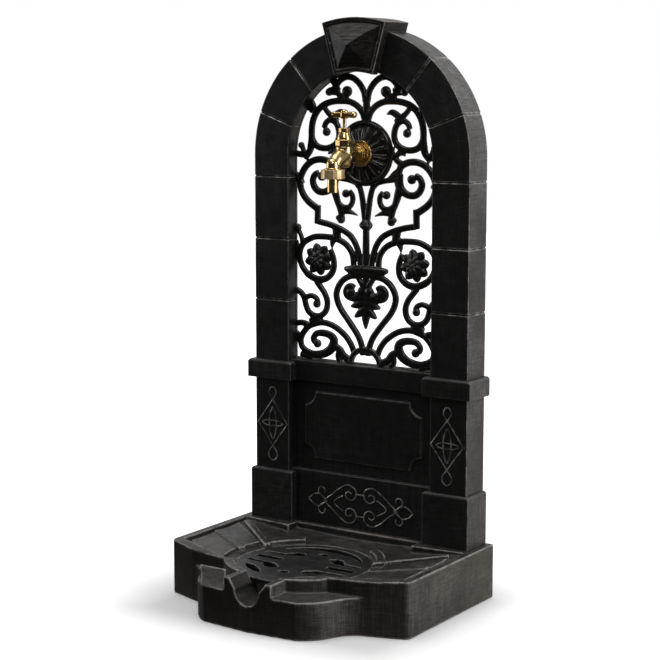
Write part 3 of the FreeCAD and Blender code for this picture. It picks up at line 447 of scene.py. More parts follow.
def castingMaterial(name, **changes):
    look = dict(castingLook, **changes)
    material, tree = newMaterial(name)
    worn = useGroup(tree, edgeGroup, look, "Paint", "Metal", "Edge", "Stroke", "Side", "Top")
    grain = useGroup(tree, grainGroup, look, "Sand", "Lumps")
    rough = ramped(tree, grain["Tone"], 0.3, 0.7, *look["rough"])
    rough = sums(tree, "SUBTRACT", rough, times(tree, worn["Drawn"], 0.10))
    bump = node(tree, "Bump", {"Strength": 0.6, "Distance": look["bump"], "Height": grain["Height"]})
    finish(tree, node(tree, "BsdfPrincipled", {
        "Base Color": worn["Colour"], "Roughness": rough, "Metallic": worn["Drawn"],
        "Specular IOR Level": look["level"], "Normal": bump.outputs[0]}))
    return material


brassLook = {"bright": (0.82, 0.60, 0.28, 1), "deep": (0.54, 0.33, 0.11, 1), "rough": (0.17, 0.28), "bump": 0.00002,
             "metallic": 1.0, "sand": 0.15, "lumps": 1.0}


def brassMaterial(name, **changes):
    look = dict(brassLook, **changes)
    material, tree = newMaterial(name)
    place = onPiece(tree)
    grain = useGroup(tree, grainGroup, look, "Sand", "Lumps")
    tarnish = ramped(tree, speckle(tree, place, 34.0, 2.0, 0.5), 0.42, 0.68)
    colour = mixed(tree, tarnish, look["bright"], look["deep"])
    rough = ramped(tree, speckle(tree, place, 160.0), 0.3, 0.7, *look["rough"])
    bump = node(tree, "Bump", {"Strength": 0.5, "Distance": look["bump"], "Height": grain["Height"]})
    finish(tree, node(tree, "BsdfPrincipled", {
        "Base Color": colour, "Roughness": rough, "Metallic": look["metallic"], "Normal": bump.outputs[0]}))
    return material


def plainMaterial(name, colour, other, rough, metallic=0.0, scale=220.0, bump=0.00004):
    material, tree = newMaterial(name)
    place = onPiece(tree)
    cloud = speckle(tree, place, scale, 4.0, 0.6)
    bumped = node(tree, "Bump", {"Strength": 0.5, "Distance": bump, "Height": cloud})
    finish(tree, node(tree, "BsdfPrincipled", {
        "Base Color": mixed(tree, ramped(tree, cloud, 0.3, 0.7), colour, other),
        "Roughness": ramped(tree, cloud, 0.3, 0.7, rough - 0.07, rough + 0.07), "Metallic": metallic,
        "Normal": bumped.outputs[0]}))
    return material


blackCasting = castingMaterial("blackCasting")
blockCasting = castingMaterial("blockCasting", edge=1.0, stroke=0.26, side=0.48)
# keystone: no painted sheen on its sides, strong painted light on its upward facets
keyCasting = castingMaterial("keyCasting", edge=2.6, stroke=0.20, side=0.0, top=0.8, level=0.18,
                             metal=(0.27, 0.245, 0.225, 1))
scrollCasting = castingMaterial("scrollCasting", edge=2.2, stroke=0.12, side=0.18, top=0.16, rough=(0.22, 0.32))
rosetteCasting = castingMaterial("rosetteCasting", edge=0.5, stroke=0.04, side=0.04, top=0.04, rough=(0.15, 0.24),
                                 bump=0.00008)
trayCasting = castingMaterial("trayCasting", edge=3.4, stroke=0.18, side=0.32, top=0.22, sand=1.4, bump=0.00034,
                              metal=(0.27, 0.25, 0.23, 1))
grateCasting = castingMaterial("grateCasting", edge=3.4, stroke=0.12, side=0.1, top=0.14, sand=1.2, bump=0.0003)
polishedBrass = brassMaterial("polishedBrass")
roughBrass = brassMaterial("roughBrass", bright=(0.82, 0.63, 0.36, 1), deep=(0.58, 0.40, 0.18, 1),
                           rough=(0.40, 0.55), bump=0.00020, metallic=0.88)
blackRubber = plainMaterial("blackRubber", (0.02, 0.02, 0.02, 1), (0.035, 0.035, 0.034, 1), 0.75)
redFibre = plainMaterial("redFibre", (0.10, 0.025, 0.018, 1), (0.15, 0.045, 0.03, 1), 0.8)
zincPlate = plainMaterial("zincPlate", (0.52, 0.52, 0.50, 1), (0.66, 0.65, 0.60, 1), 0.38, 1.0, 90.0)
# near, far and glow set the painted shade round the object; soft and lift set the painted contact shadow along the
# base
floorPlan = {"half": 6.0, "low": -0.0005, "pale": 0.93, "near": 0.25, "far": 0.80, "glow": (0.0, 0.60),
             "base": (0.20, 0.15), "soft": (0.0, 0.13), "lift": (0.02, 0.42),
             "paintedBounceGlow": (0.03, 0.50), "reach": (-0.35, 0.50), "tint": (1.0, 0.91, 0.82, 1)}


def floorMaterial():   # pale paper that glows less near the object and least along the base, a painted contact shadow; for other rays a painted glow, dark in front and bright behind
    plan = floorPlan
    material, tree = newMaterial("paleFloor")
    place = onPiece(tree)
    away = lengthOf(tree, place)
    spot = node(tree, "SeparateXYZ", {0: place}).outputs
    beside = [sums(tree, "MAXIMUM", sums(tree, "SUBTRACT", sums(tree, "ABSOLUTE", spot[key]), reach), 0.0)
              for key, reach in zip("XY", plan["base"])]
    close = lengthOf(tree, node(tree, "CombineXYZ", {0: beside[0], 1: beside[1]}).outputs[0])   # from the base
    fibre = speckle(tree, place, 140.0)
    # painted shade: the paper's glow drops near the object and along the base
    paper = node(tree, "BsdfPrincipled", {
        "Base Color": mixed(tree, fibre, (plan["pale"],) * 3 + (1,), (plan["pale"] + 0.02,) * 3 + (1,)),
        "Roughness": ramped(tree, fibre, 0.3, 0.7, 0.8, 0.9), "Emission Color": (1, 1, 1, 1),
        "Emission Strength": sums(tree, "ADD", ramped(tree, away, plan["near"], plan["far"], *plan["glow"]),
                                  ramped(tree, close, *plan["soft"], *plan["lift"]))})
    # painted bounce light: for other rays the floor glows warm, dark in front and bright behind, and lights the
    # object
    lean = sums(tree, "ADD", times(tree, spot["X"], 0.5), spot["Y"])
    paintedBounceGlow = ramped(tree, lean, *plan["reach"], *plan["paintedBounceGlow"])
    paintedBounceGlow = node(tree, "Emission", {"Color": plan["tint"], "Strength": paintedBounceGlow})
    camera = node(tree, "LightPath").outputs["Is Camera Ray"]
    finish(tree, node(tree, "MixShader", {0: camera, 1: paintedBounceGlow.outputs[0], 2: paper.outputs[0]}))
    return material


print("materials ready")
half, low = floorPlan["half"], floorPlan["low"]
floor = newPiece("floor", [(-half, -half, low), (half, -half, low), (half, half, low), (-half, half, low)],
                 [(0, 1, 2, 3)])
coat(floor.data, floorMaterial())


# The arch: two pilasters and a round head, hollow at the back

archPlan = {
    "opening": 134, "wide": 66, "foot": 86, "skin": 7, "wall": 6, "reveal": 22,
    "joints": (452, 552, 653), "angles": (20, 49.5), "grooveDeep": 2.0, "grooveHalf": 1.6, "waver": 0.22,
    "lozengeX": 165.5, "lozengeZ": 246, "carved": (181, 309), "lineHigh": 0.95, "lineHalf": 1.05,
    "fine": 0.75, "edgeWear": 0.45}


def lozengeLines():   # a long diamond whose lines cross into a loop at each tip, with two spindles inside
    routes = [
        [(-30, -1), (-15, 19.5), (0, 39.5), (7, 50), (4.5, 58), (0, 60.5), (-4.5, 58), (-7, 50), (0, 39.5),
         (15, 19.5), (30, -1)],
        [(30, 1), (15, -18), (0, -38.5), (-7.5, -48), (-8, -57), (0, -63), (8, -57), (7.5, -48), (0, -38.5),
         (-15, -18), (-30, 1)],
        [(-20, 0), (-10, 4), (3, 4.3), (13, 3.6), (20.5, 0), (11, -4.3), (-3, -4.7), (-14, -3.8), (-20, 0)],
        [(0, 27), (-5.5, 15), (-7, 0), (-5.5, -15), (0, -27), (5.5, -15), (7, 0), (5.5, 15), (0, 27)]]
    x, z = archPlan["lozengeX"], archPlan["lozengeZ"]
    return [[(x + p.x, z + p.y) for p, _ in flow(route, 1.5)] for route in routes]


def archRows():   # half the way round the arch, from foot to crown, with finer steps at joints and carving
    plan = archPlan
    low, high = plan["carved"]
    heights = [*np.arange(plan["foot"], low, 5.0), *np.arange(low, high, plan["fine"]),
               *np.arange(high, springHigh, 5.5)]
    marks = (-2.6, -1.6, -1.0, -0.4, 0.4, 1.0, 1.6, 2.6)
    for joint in plan["joints"]:
        heights = [h for h in heights if abs(h - joint) > 4.2] + [joint + s for s in marks]
    heights.sort()
    middle = plan["opening"] + plan["wide"] / 2
    turns = [*np.arange(0, 90.01, 2.0)]
    for angle in plan["angles"]:
        turns = [t for t in turns if abs(t - angle) > 1.5] + [angle + math.degrees(s / middle) for s in marks]
    turns.sort()
    return [("up", h) for h in heights] + [("turn", t) for t in turns]


def bothWays(half):   # up to the crown on the right and down on the left
    return [(kind, v, 1) for kind, v in half] + [(kind, v, -1) for kind, v in half[-2::-1]]


def archSpot(kind, v, out):   # x and z on the way round the arch, so far out from its opening
    reach, angle = archPlan["opening"] + out, math.radians(v)
    return (reach, v) if kind == "up" else (reach * math.cos(angle), springHigh + reach * math.sin(angle))


def archPiece():
    plan = archPlan
    wide, skin, wall, reveal = plan["wide"], plan["skin"], plan["wall"], plan["reveal"]
    outline = filleted([
        (0, 0, 2.2), (wide, 0, 2.2), (wide, archDeep, 1.2), (wide - wall, archDeep, 1.2), (wide - wall, skin, 2),
        (wall, skin, 2), (wall, reveal, 1), (0, reveal, 1)], 4)
    profile = stepped(outline, lambda a, b: plan["fine"] if max(abs(a.y), abs(b.y)) < 0.01 else 6.0)
    inward = []
    for p in profile:   # which way a groove goes in, nothing on the hollow side
        push = Vector((0, 0))
        if p.y < 3 and 0 <= p.x <= wide:
            push.y += 1 - p.y / 3
        if p.x < 3 and p.y <= reveal:
            push.x += 1 - p.x / 3
        if p.x > wide - 3:
            push.x -= 1 - (wide - p.x) / 3
        if push.length > 1:
            push.normalize()
        inward.append(push)
    halfRows = archRows()
    rows = bothWays(halfRows)
    flat = [j for j, p in enumerate(profile) if p.y < 0.01]
    low, high = plan["carved"]
    fine = [k for k, (kind, v) in enumerate(halfRows) if kind == "up" and low <= v <= high]
    across = np.array([plan["opening"] + profile[j].x for j in flat])
    up = np.array([halfRows[k][1] for k in fine])
    near = lineDistance(*np.meshgrid(across, up), lozengeLines())
    carving = {(halfRows[k][1], j): near[a, b] for a, k in enumerate(fine) for b, j in enumerate(flat)}
    verts, carved = [], []
    for kind, v, side in rows:
        joints = plan["joints"] if kind == "up" else plan["angles"]
        gap = min(abs(v - j) for j in joints)
        if kind == "turn":
            gap = math.radians(gap) * (plan["opening"] + wide / 2)
        groove = plan["grooveDeep"] * max(0.0, 1 - gap / plan["grooveHalf"]) ** 0.8
        lip = 0.6 if 0.9 < gap < 1.9 else 0.0
        for j, (p, push) in enumerate(zip(profile, inward)):
            q = p + push * groove
            carvedHere = lip if push.length > 0.2 else 0.0
            if 0.15 < p.y < 2.0 and (0.2 < p.x < 1.6 or wide - 1.6 < p.x < wide - 0.2):
                carvedHere = max(carvedHere, plan["edgeWear"] * (1.0 if p.x > 3 else 0.2))
            if kind == "up" and (v, j) in carving:
                rise = max(0.0, 1 - (carving[v, j] / plan["lineHalf"]) ** 2)
                q = q - Vector((0, plan["lineHigh"] * rise ** 0.6))
                carvedHere = max(carvedHere, 0.75 * rise)
            x, z = archSpot(kind, v, q.x)
            y = q.y
            if push.length > 0.2:
                y += plan["waver"] * noise.noise(Vector((side * x, 0, z)) * 0.03)
            verts.append(at(side * x, y, z))
            carved.append(carvedHere)
    return carvedPiece("archCasting", verts, skinFaces(len(rows), len(profile)), carved)


dress(archPiece(), blackCasting, ("frame",))

blockPlan = {
    "cornice": {"low": 322, "high": 352, "proud": 9, "outer": 209.5},
    "plinth": {"low": 86, "high": 170, "proud": 6, "outer": 206},
    "lap": 10, "chamfer": 3.0, "voxel": 1.15}


def pilasterBlock(name, side, plan):   # a cornice or plinth block with its front lapped over the apron
    inner, out, front = archPlan["opening"], plan["outer"], -plan["proud"]
    lap = inner - blockPlan["lap"]
    base = [(lap, 7.9), (lap, front), (out, front), (out, 54.8), (198, 54.8), (198, 4), (inner + 2, 4),
            (inner + 2, 7.9)]
    high, low, cut = plan["high"], plan["low"], blockPlan["chamfer"]
    shrunk = [(x + (cut if x == lap else -cut if x == out else 0), y + (cut if y == front else 0)) for x, y in base]
    rows = [(low, base), (high - cut, base), (high, shrunk)]
    verts = [at(side * x, y, z) for z, ring in rows for x, y in ring]
    return castAsOne(newPiece(name, verts, skinFaces(3, len(base))), blockPlan["voxel"])


for label, side in sides:
    for kind in ("cornice", "plinth"):
        dress(pilasterBlock(kind + label, side, blockPlan[kind]), blockCasting)
    plate = [(side * x, y) for x, y in ((136, 3), (198, 3), (198, 53), (136, 53))]
    dress(block("footPlate" + label, plate, 86, 94, 0.8), blackCasting)
    bosses = [turnedPiece("boss", [(0, 0), (5.5, 0), (7, 15), (0, 15)], at(side * x, 22, z), (0, -1, 0), 0.8, 24)
              for x, z in ((144, 380), (144, 520), (144, 640), (113.5, 776.7), (144, 125), (144, 215), (144, 305))]
    dress(joined("screwBosses" + label, bosses), blackCasting)
print("blocks ready")


# Keystone: a wedge between two arcs, with a pointed front in a raised border and a cap over the arch

keyPlan = {"half": 15.7, "inner": 131.5, "outer": 215, "capInner": 199.4, "front": 15, "border": 6.2, "recess": 2.6,
           "point": 32, "apex": 174, "steps": (96, 110), "voxel": 0.85}


def keySlab(low, back, fronts):   # a wedge from a radius out to the top; fronts gives y by radius and turn
    across, rise = keyPlan["steps"]
    high, half = keyPlan["outer"], math.radians(keyPlan["half"])
    verts = []
    for r in np.linspace(low, high, rise + 1):
        turns = np.linspace(-half, half, across + 1)
        spots = [(r * math.sin(t), springHigh + r * math.cos(t), fronts(r, t)) for t in turns]
        verts += [at(x, y, z) for x, z, y in spots] + [at(x, back, z) for x, z, y in spots[::-1]]
    count = 2 * (across + 1)
    faces = skinFaces(rise + 1, count, False)
    for row in (0, rise):   # the lower and upper ends
        start = row * count
        faces += [(start + k, start + k + 1, start + count - 2 - k, start + count - 1 - k) for k in range(across)]
    return newPiece("slab", verts, faces)


def keyFront(r, t):   # four facets from the inner edges up to one point
    plan = keyPlan
    lean = math.radians(plan["half"])
    low, high, apex = plan["inner"] + plan["border"], plan["outer"] - plan["border"], plan["apex"]
    beside = r * math.sin(lean - abs(t)) - plan["border"]
    share = min(beside / (apex * math.sin(lean) - plan["border"]), (r - low) / (apex - low),
                (high - r) / (high - apex))
    if share < 0:
        return -plan["front"]
    field = plan["front"] - plan["recess"]
    return -field - (plan["point"] - field) * min(1, share)


keySlabs = [keySlab(keyPlan["inner"], 0.5, keyFront), keySlab(keyPlan["capInner"], archDeep, lambda r, t: -1)]
dress(castAsOne(joined("keystoneCasting", keySlabs), keyPlan["voxel"], 1), keyCasting, ("keystone",))


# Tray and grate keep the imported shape, as one cast skin with soft corners

castPlan = {"base_tray": (1.75, 2), "drain_grate": (1.0, 1)}
restLines = [   # the hollowed rest left of the notch, from the ledge up to the rim: y, height, left and right end
    (-297, 57.0, -88, -46), (-291, 58.5, -92, -48), (-285, 62.5, -96, -51), (-279, 68.5, -101, -55),
    (-274, 75.0, -106, -58), (-271, 78.0, -109, -60), (-266, 78.0, -112, -63)]


def trayRest():
    verts = []
    for y, z, left, right in restLines:
        verts += [at(left, y, z), at(right, y, z), at(right, y, 52), at(left, y, 52)]
    return newPiece("rest", verts, skinFaces(len(restLines), 4))


dress(fromFrame("trayCasting", "base_tray", *castPlan["base_tray"], [trayRest()]), trayCasting, ("base_tray",))
dress(fromFrame("grateCasting", "drain_grate", *castPlan["drain_grate"]), grateCasting, ("drain_grate",),
      body="grate")


# Apron with its plaque and the ornament along the foot

apronPlan = {
    "half": 133.5, "fine": 0.68, "plaqueHalf": (111.5, 55), "plaqueZ": 249, "scoop": 22, "raise": 3.0, "soft": 1.6,
    "lineHigh": 1.15, "lineHalf": 1.15, "ornamentZ": 126}


def ornamentLines():   # two hearts of scrolls lying foot to foot, drawn as one quarter
    quarter = [
        [(99.5, 0), (91, 7.5), (81, 10.5), (72, 6), (65, 0)],
        [(65, 1), (71.5, 5), (78.5, 10), (80.5, 16), (75.5, 22), (68.5, 19.5), (68, 13.5)],
        [(69, 0), (62, 6.5), (54, 12), (40, 23.5), (26, 31), (15, 30), (7.5, 22), (9, 12), (17, 6.5), (26, 10),
         (27.5, 16.5), (22, 20.5), (17, 18)],
        [(50, 0), (46, 5), (33, 12.5)], [(0, 18), (4, 18), (8, 18)]]
    z = apronPlan["ornamentZ"]
    return [[(side * p.x, z + flip * p.y) for p, _ in flow(route, 1.5)]
            for side in (-1, 1) for flip in (-1, 1) for route in quarter]


def apronStep(a, b):   # fine over the ornament and the plaque
    if max(a.x, b.x) < 9.5 and max(a.y, b.y) < 173.5:
        return apronPlan["fine"] * 1.1
    if abs(a.x - 16) < 0.1 and abs(b.x - 16) < 0.1:
        return 1.55
    return 4.0 if max(a.x, b.x) < 16.5 else 9.0


def apronPiece():
    plan = apronPlan
    outline = filleted([
        (9, 86, 1), (9, 173, 1.4), (16, 173, 1.6), (16, 322, 1.6), (8, 322, 1.6), (8, 355, 1.4), (22, 355, 1),
        (22, 349, 1), (14, 349, 1), (14, 328, 1), (22, 328, 1), (22, 167, 1), (15, 167, 1), (15, 86, 1)], 3)
    ring = stepped(outline, apronStep)
    edge = np.arange(107.0, plan["half"], 2.6)
    middle = np.arange(-106.4, 106.5, plan["fine"])
    columns = np.concatenate([[-plan["half"]], -edge[::-1], middle, edge, [plan["half"]]])
    rowY, rowZ = np.array([tuple(p) for p in ring]).T
    x, z = np.meshgrid(columns, rowZ, indexing="ij")
    y = np.repeat(rowY[None, :], len(columns), axis=0)
    front = (rowY < 16.5) & ~((np.abs(rowY - 15) < 1.1) & (rowZ < 168)) & ~((13.5 < rowY) & (rowY < 14.5))
    foot = front & (rowY < 9.2) & (rowZ < 172)
    near = lineDistance(x[:, foot], z[:, foot], ornamentLines())
    carved = np.zeros(x.shape)
    rise = np.clip(1 - (near / plan["lineHalf"]) ** 2, 0, 1)
    y[:, foot] -= plan["lineHigh"] * rise ** 0.6
    carved[:, foot] = 0.9 * rise
    field = front & (np.abs(rowY - 16) < 0.1) & (rowZ > 176) & (rowZ < 320)
    across, up = plan["plaqueHalf"]
    dx, dz = np.abs(x[:, field]) - across, np.abs(z[:, field] - plan["plaqueZ"]) - up
    outside = np.maximum(np.maximum(dx, dz), plan["scoop"] - np.hypot(dx, dz))
    rise = np.clip(0.5 - outside / plan["soft"], 0, 1)
    y[:, field] -= plan["raise"] * rise * rise * (3 - 2 * rise)
    carved[:, field] = (np.abs(outside + 0.8) < 0.9) * 0.16
    verts = [at(*spot) for spot in zip(x.ravel(), y.ravel(), z.ravel())]
    return carvedPiece("apronCasting", verts, skinFaces(len(columns), len(ring)), carved.ravel())


dress(apronPiece(), blackCasting, ("apron",))
for label, side in sides:
    tab = [(side * x, y) for x, y in ((119.5, 21), (149.5, 21.9), (149.5, 28), (119.5, 28))]
    dress(block("apronTab" + label, tab, 106, 328, 0.9), blackCasting)


# Scroll panel, drawn as its right half in x and z, with half widths

panelPlan = {"back": 27, "front": 20.8, "voxel": 0.95, "stem": 5.0, "bar": 4.6, "thin": 4.0, "fuller": 1.14,
             "ball": 1.05}
stem, bar, thin = panelPlan["stem"], panelPlan["bar"], panelPlan["thin"]

upperBars = [
    ([(2, 774), (4, 786), (9, 796), (16, 804), (25, 810), (36, 812), (47, 808), (55, 800), (56, 790), (50, 783),
      (40, 781)], (bar, bar, thin)),
    ([(50, 788), (60, 790), (70, 789)], (6, 6.5, 5.5)), ([(56, 798), (62, 806), (66, 812)], (5, 6, 6.5)),
    ([(3, 744), (8, 757), (18, 767), (32, 773), (48, 774), (64, 773), (80, 768), (93, 758), (101, 744), (104, 728),
      (103, 714), (95, 703), (83, 699), (70, 700), (58, 706), (52, 716), (52, 728), (57, 739), (67, 744), (76, 740),
      (80, 731)], (bar, bar, stem, bar, bar, thin)),
    ([(80, 764), (72, 755), (62, 748), (54, 742)], (3.5, 4, 4.5, 4)),
    ([(38, 754), (47, 757), (56, 753), (62, 748)], (1.2, 4.5, 5, 4)),
    ([(104, 720), (106, 705), (109, 692), (118, 683)], bar),
    ([(103, 706), (105, 696), (111, 690), (118, 691), (122, 700)], 3.6),
    ([(106, 694), (118, 688), (138, 690)], bar),
    ([(48, 704), (48, 694), (55, 684), (64, 678)], (4, 4, 4.5)), ([(62, 704), (62, 697), (55, 689)], 3.6),
    ([(57, 692), (65, 694), (72, 690)], (4, 3.5, 1.2)), ([(44, 652), (52, 660), (60, 666)], stem),
    ([(60, 664), (64, 673), (74, 679), (87, 681), (100, 679), (111, 673), (120, 663), (126, 650), (126, 636),
      (121, 624), (112, 614), (102, 607), (93, 602)], (stem, stem, stem, 5.2)),
    ([(60, 662), (60, 650), (63, 640), (70, 633), (80, 629), (91, 630), (99, 637), (102, 647), (98, 656), (90, 660)],
     (7, 7, 6.5, 5.5, 5, 5.2, 5.2, 5, 4.6, 4.4)),
    ([(62, 642), (59, 630), (55, 617), (50, 605), (47, 595), (46, 588)], (6, 6, 5, 4.5, 4.5, 5)),
    ([(47, 600), (37, 600), (27, 598), (16, 594)], (4.5, 4.5, 3, 0.9)),
    ([(52, 611), (42, 606), (32, 607), (26, 615), (26, 625), (32, 632)], thin),
    ([(60, 655), (48, 652), (34, 650), (20, 646), (14, 640)], thin),
    ([(20, 652), (13, 641), (8, 625), (5, 607), (2, 586)], (thin, bar)),
    ([(92, 608), (92.5, 594), (93, 577)], 4.8)]
upperBalls = [(36, 789, 8.5), (70, 788, 6), (75, 725, 6.6), (124, 703, 5), (84, 654, 7.2), (47, 586, 6.2),
              (52, 589, 4.2), (38, 628, 6.4)]
lowerBars = [
    ([(10, 512), (12, 526), (16, 540), (22, 552), (31, 562), (44, 569), (58, 574), (74, 578), (92, 581)], bar),
    ([(23, 512), (25, 529), (31, 540), (40, 548), (51, 553), (63, 556), (75, 557), (87, 557), (98, 556), (109, 552),
      (119, 546), (126, 536), (128, 522), (123, 507), (114, 496)], bar),
    ([(114, 496), (103, 490), (92, 487), (81, 488), (71, 493), (63, 503), (61, 515), (63, 526), (68, 537)],
     (5.2, 5.2, 4.8, 4.2)),
    ([(55, 554), (56, 564), (57, 573)], 6.5), ([(60, 556), (64, 548), (65, 540)], (5, 4, 1.2)),
    ([(95, 484), (87, 475), (79, 465), (74, 453), (75, 441), (81, 432), (91, 427), (102, 428), (111, 434),
      (116, 444), (119, 455), (125, 463), (137, 469)], bar),
    ([(118, 455), (109, 459), (101, 459), (94, 455), (92, 448)], thin),
    ([(22, 372), (27, 384), (36, 396), (47, 405), (59, 412), (72, 416), (85, 417), (98, 414), (110, 409), (120, 399),
      (126, 387), (124, 375), (115, 368)], bar),
    ([(115, 368), (103, 364), (92, 364), (79, 367), (68, 374), (62, 383), (62, 392), (70, 398), (83, 400), (95, 398),
      (101, 391), (101, 387), (98, 383)], (bar, 6, 7.5, 5.5, bar, thin)),
    ([(76, 370), (68, 376), (58, 379), (49, 375), (43, 367), (34, 361), (25, 358)], (4, 4.6, 5, 5.4, 5.4, 6, 6)),
    ([(50, 375), (53, 366), (51, 359), (45, 357)], (4.5, 4)),
    ([(88, 424), (98, 422), (108, 418)], thin), ([(130, 566), (124, 554), (122, 540)], 3.5),
    ([(112, 412), (124, 414), (137, 412)], 4.5), ([(100, 356), (112, 360), (126, 362)], 4),
    ([(130, 520), (134, 532), (138, 548)], (5, 6, 6)), ([(122, 640), (130, 650), (138, 656)], (5, 6, 6)),
    ([(100, 756), (104, 764), (110, 772)], (5, 8, 9)), ([(126, 388), (132, 390), (138, 392)], (6, 8, 9))]
lowerBalls = [(94, 447, 6.4), (93, 382, 6.8), (131, 570, 6)]
heartBars = [
    ([(16, 498), (30, 496), (42, 490), (51, 480), (56, 466), (53, 452), (46, 440), (36, 428), (25, 415), (15, 402),
      (9, 390), (6, 379), (5, 370)], bar),
    ([(2, 463), (14, 462), (25, 461), (34, 464), (37.5, 471), (34, 478.5), (27, 481), (21, 478)],
     (4.4, 4.9, 4.9, 4.4, 3.6)),
    ([(17, 498), (11, 490), (4, 480)], (3.6, 4, 4.4)),
    ([(1, 456), (10, 453), (19, 450), (27, 448)], (6.4, 6, 5, 2)),
    ([(0, 445), (7, 441), (14, 435.5), (20, 431)], (6.4, 6, 4.8, 1.8))]
heartBalls = [(28, 470.5, 7), (7, 473, 7.4), (15.5, 467.5, 4.8)]
middleBars = [
    ([(0, 735), (0, 755), (0, 778)], (6.5, 6.5, 5)), ([(0, 512), (0, 540), (0, 574)], (5.6, 5.4, 5)),
    ([(0, 500), (0, 486), (0, 470)], 4.6),
    ([(0, 470), (0, 455), (0, 440), (0, 428), (0, 413)], (7, 6.6, 6.2, 6, 1.3))]


def barPiece(route, widths, lift=0.0):   # a half-round bar with a flat back
    plan = panelPlan
    line = flow(route)
    arc = [(1, 0), (1, 0.42), (0.93, 0.66), (0.72, 0.86), (0.38, 0.97)]
    ring = [(-u, v) for u, v in arc] + [(0, 1)] + arc[::-1]
    verts = []
    for k, (spot, share) in enumerate(line):
        before, after = line[max(k - 1, 0)][0], line[min(k + 1, len(line) - 1)][0]
        way = (after - before).normalized()
        side = Vector((-way.y, way.x))
        wide = (along(widths, share) if isinstance(widths, tuple) else widths) * plan["fuller"]
        high = (plan["back"] - plan["front"] + lift) * min(1.0, 0.55 + 0.45 * wide / 4.0)
        for u, v in ring:
            p = spot + side * (wide * u)
            verts.append(at(p.x, plan["back"] - high * v, p.y))
    return newPiece("bar", verts, skinFaces(len(line), len(ring)))


def mound(x, z, radius, back, front, steps=20):   # a flattened ball on the panel
    profile = [(radius, 0)] + [(radius * math.cos(t), (back - front) * (0.45 + 0.55 * math.sin(t)))
                               for t in np.linspace(0, math.pi / 2, 7)]
    profile = [(max(r, 0.001), h) for r, h in profile]
    verts = []
    for r, h in profile:
        verts += ringOf(x, back - h, z, r, steps)
    return newPiece("mound", verts, skinFaces(len(profile), steps, False) + [tuple(range(steps))])


def cup(rows, back=27, steps=28):   # a half-round cup or bead: rows of height, half width and front
    verts = []
    for z, half, front in rows:
        verts += [at(half * math.cos(t), back - (back - front) * math.sin(t) ** 0.75, z)
                  for t in np.linspace(0, math.pi, steps)]
    return newPiece("cup", verts, skinFaces(len(rows), steps))


def bothSides(bars, balls, lift=0.0):
    parts = []
    for side in (-1, 1):
        parts += [barPiece([(side * x, z) for x, z in route], widths, lift) for route, widths in bars]
        parts += [mound(side * x, z, r * panelPlan["ball"], panelPlan["back"], 19.2 - lift) for x, z, r in balls]
    return parts


def petal(x, z, turn, reach, wide, low, high, steps=13):   # an egg-shaped petal, domed, with a small point
    verts = []
    for k in range(steps):
        t = k / (steps - 1)
        half = 0.3 + wide * max(0.3 * (1 - t), math.sin(math.pi * min(1.0, t ** 1.35)) ** 0.62)
        spot = Vector((x, z)) + Vector((math.cos(turn), math.sin(turn))) * (1.5 + (reach - 1.5) * t)
        side = Vector((-math.sin(turn), math.cos(turn)))
        bulge = math.sin(math.pi * (0.12 + 0.80 * t)) ** 0.7
        for u, h in ((-1, -3.5), (-1, 0.0), (-0.72, 0.55), (-0.3, 0.92), (0, 1.0), (0.3, 0.92), (0.72, 0.55),
                     (1, 0.0), (1, -3.5)):
            p = spot + side * (half * u)
            verts.append(at(p.x, min(low - (low - high) * h * (bulge if h > 0 else 1) + 1.2 * t, 26.9), p.y))
    return newPiece("petal", verts, skinFaces(steps, 9))


flowerPlan = {"x": 90.5, "z": 520, "outer": 26.5, "inner": 14.5, "count": 8, "voxel": 0.6}


def flowerPiece(name, side):
    plan = flowerPlan
    x, z, count = side * plan["x"], plan["z"], plan["count"]
    parts = []
    for k in range(count):
        turn = 2 * math.pi * (k + 0.25) / count
        parts.append(petal(x, z, turn, plan["outer"], 7.6, 22.5, 17.8))
        parts.append(petal(x, z, turn + math.pi / count, plan["inner"], 4.2, 18.4, 13.2))
    parts.append(mound(x, z, 3.8, 20, 12.6))
    parts.append(mound(x, z, 14.0, 26.9, 20.5, 28))
    return castAsOne(joined(name, parts), plan["voxel"], 1)


def scrollPieces():
    plan = panelPlan
    upper = bothSides(upperBars, upperBalls) + [barPiece(*middleBars[0])]
    upper.append(mound(0, tapHigh, 49, plan["back"], 22.4, 48))
    upper.append(cup([(569, 4.5, 22), (572, 7.5, 20), (576, 11, 16), (579, 12.2, 14.6), (582, 11, 16),
                      (586, 7.5, 18.5), (590, 4.5, 22)]))
    lower = bothSides(lowerBars, lowerBalls) + bothSides(heartBars, heartBalls, 1.0)
    lower += [barPiece(route, widths, 0.6) for route, widths in middleBars[1:]]
    lower.append(cup([(495, 23, 20), (497, 27, 18.4), (500, 32, 17.2), (503, 38, 15.6), (505, 41, 14.2),
                      (508.5, 42, 13.8), (511, 41, 14.4), (512.6, 37, 16.2), (514, 26, 19)]))
    return [castAsOne(joined(name, parts), plan["voxel"])
            for name, parts in (("upperScrolls", upper), ("lowerScrolls", lower))]


for half, stands in zip(scrollPieces(), (("scroll_panel",), ())):
    dress(half, scrollCasting, stands)
for label, side in sides:
    dress(flowerPiece("flower" + label, side), scrollCasting)


def rimPiece():   # the plain border behind the edge of the opening
    profile = filleted([(-0.5, 22, 0.6), (16, 22, 0.6), (16, 27, 0.8), (-0.5, 27, 0.8)], 2)
    heights, turns = np.linspace(343.5, springHigh, 60), np.linspace(2, 90, 45)
    rows = bothWays([("up", z) for z in heights] + [("turn", t) for t in turns])
    verts = []
    for kind, v, side in rows:
        for p in profile:
            x, z = archSpot(kind, v, p.x)
            verts.append(at(side * x, p.y, z))
    return newPiece("panelRim", verts, skinFaces(len(rows), len(profile)))


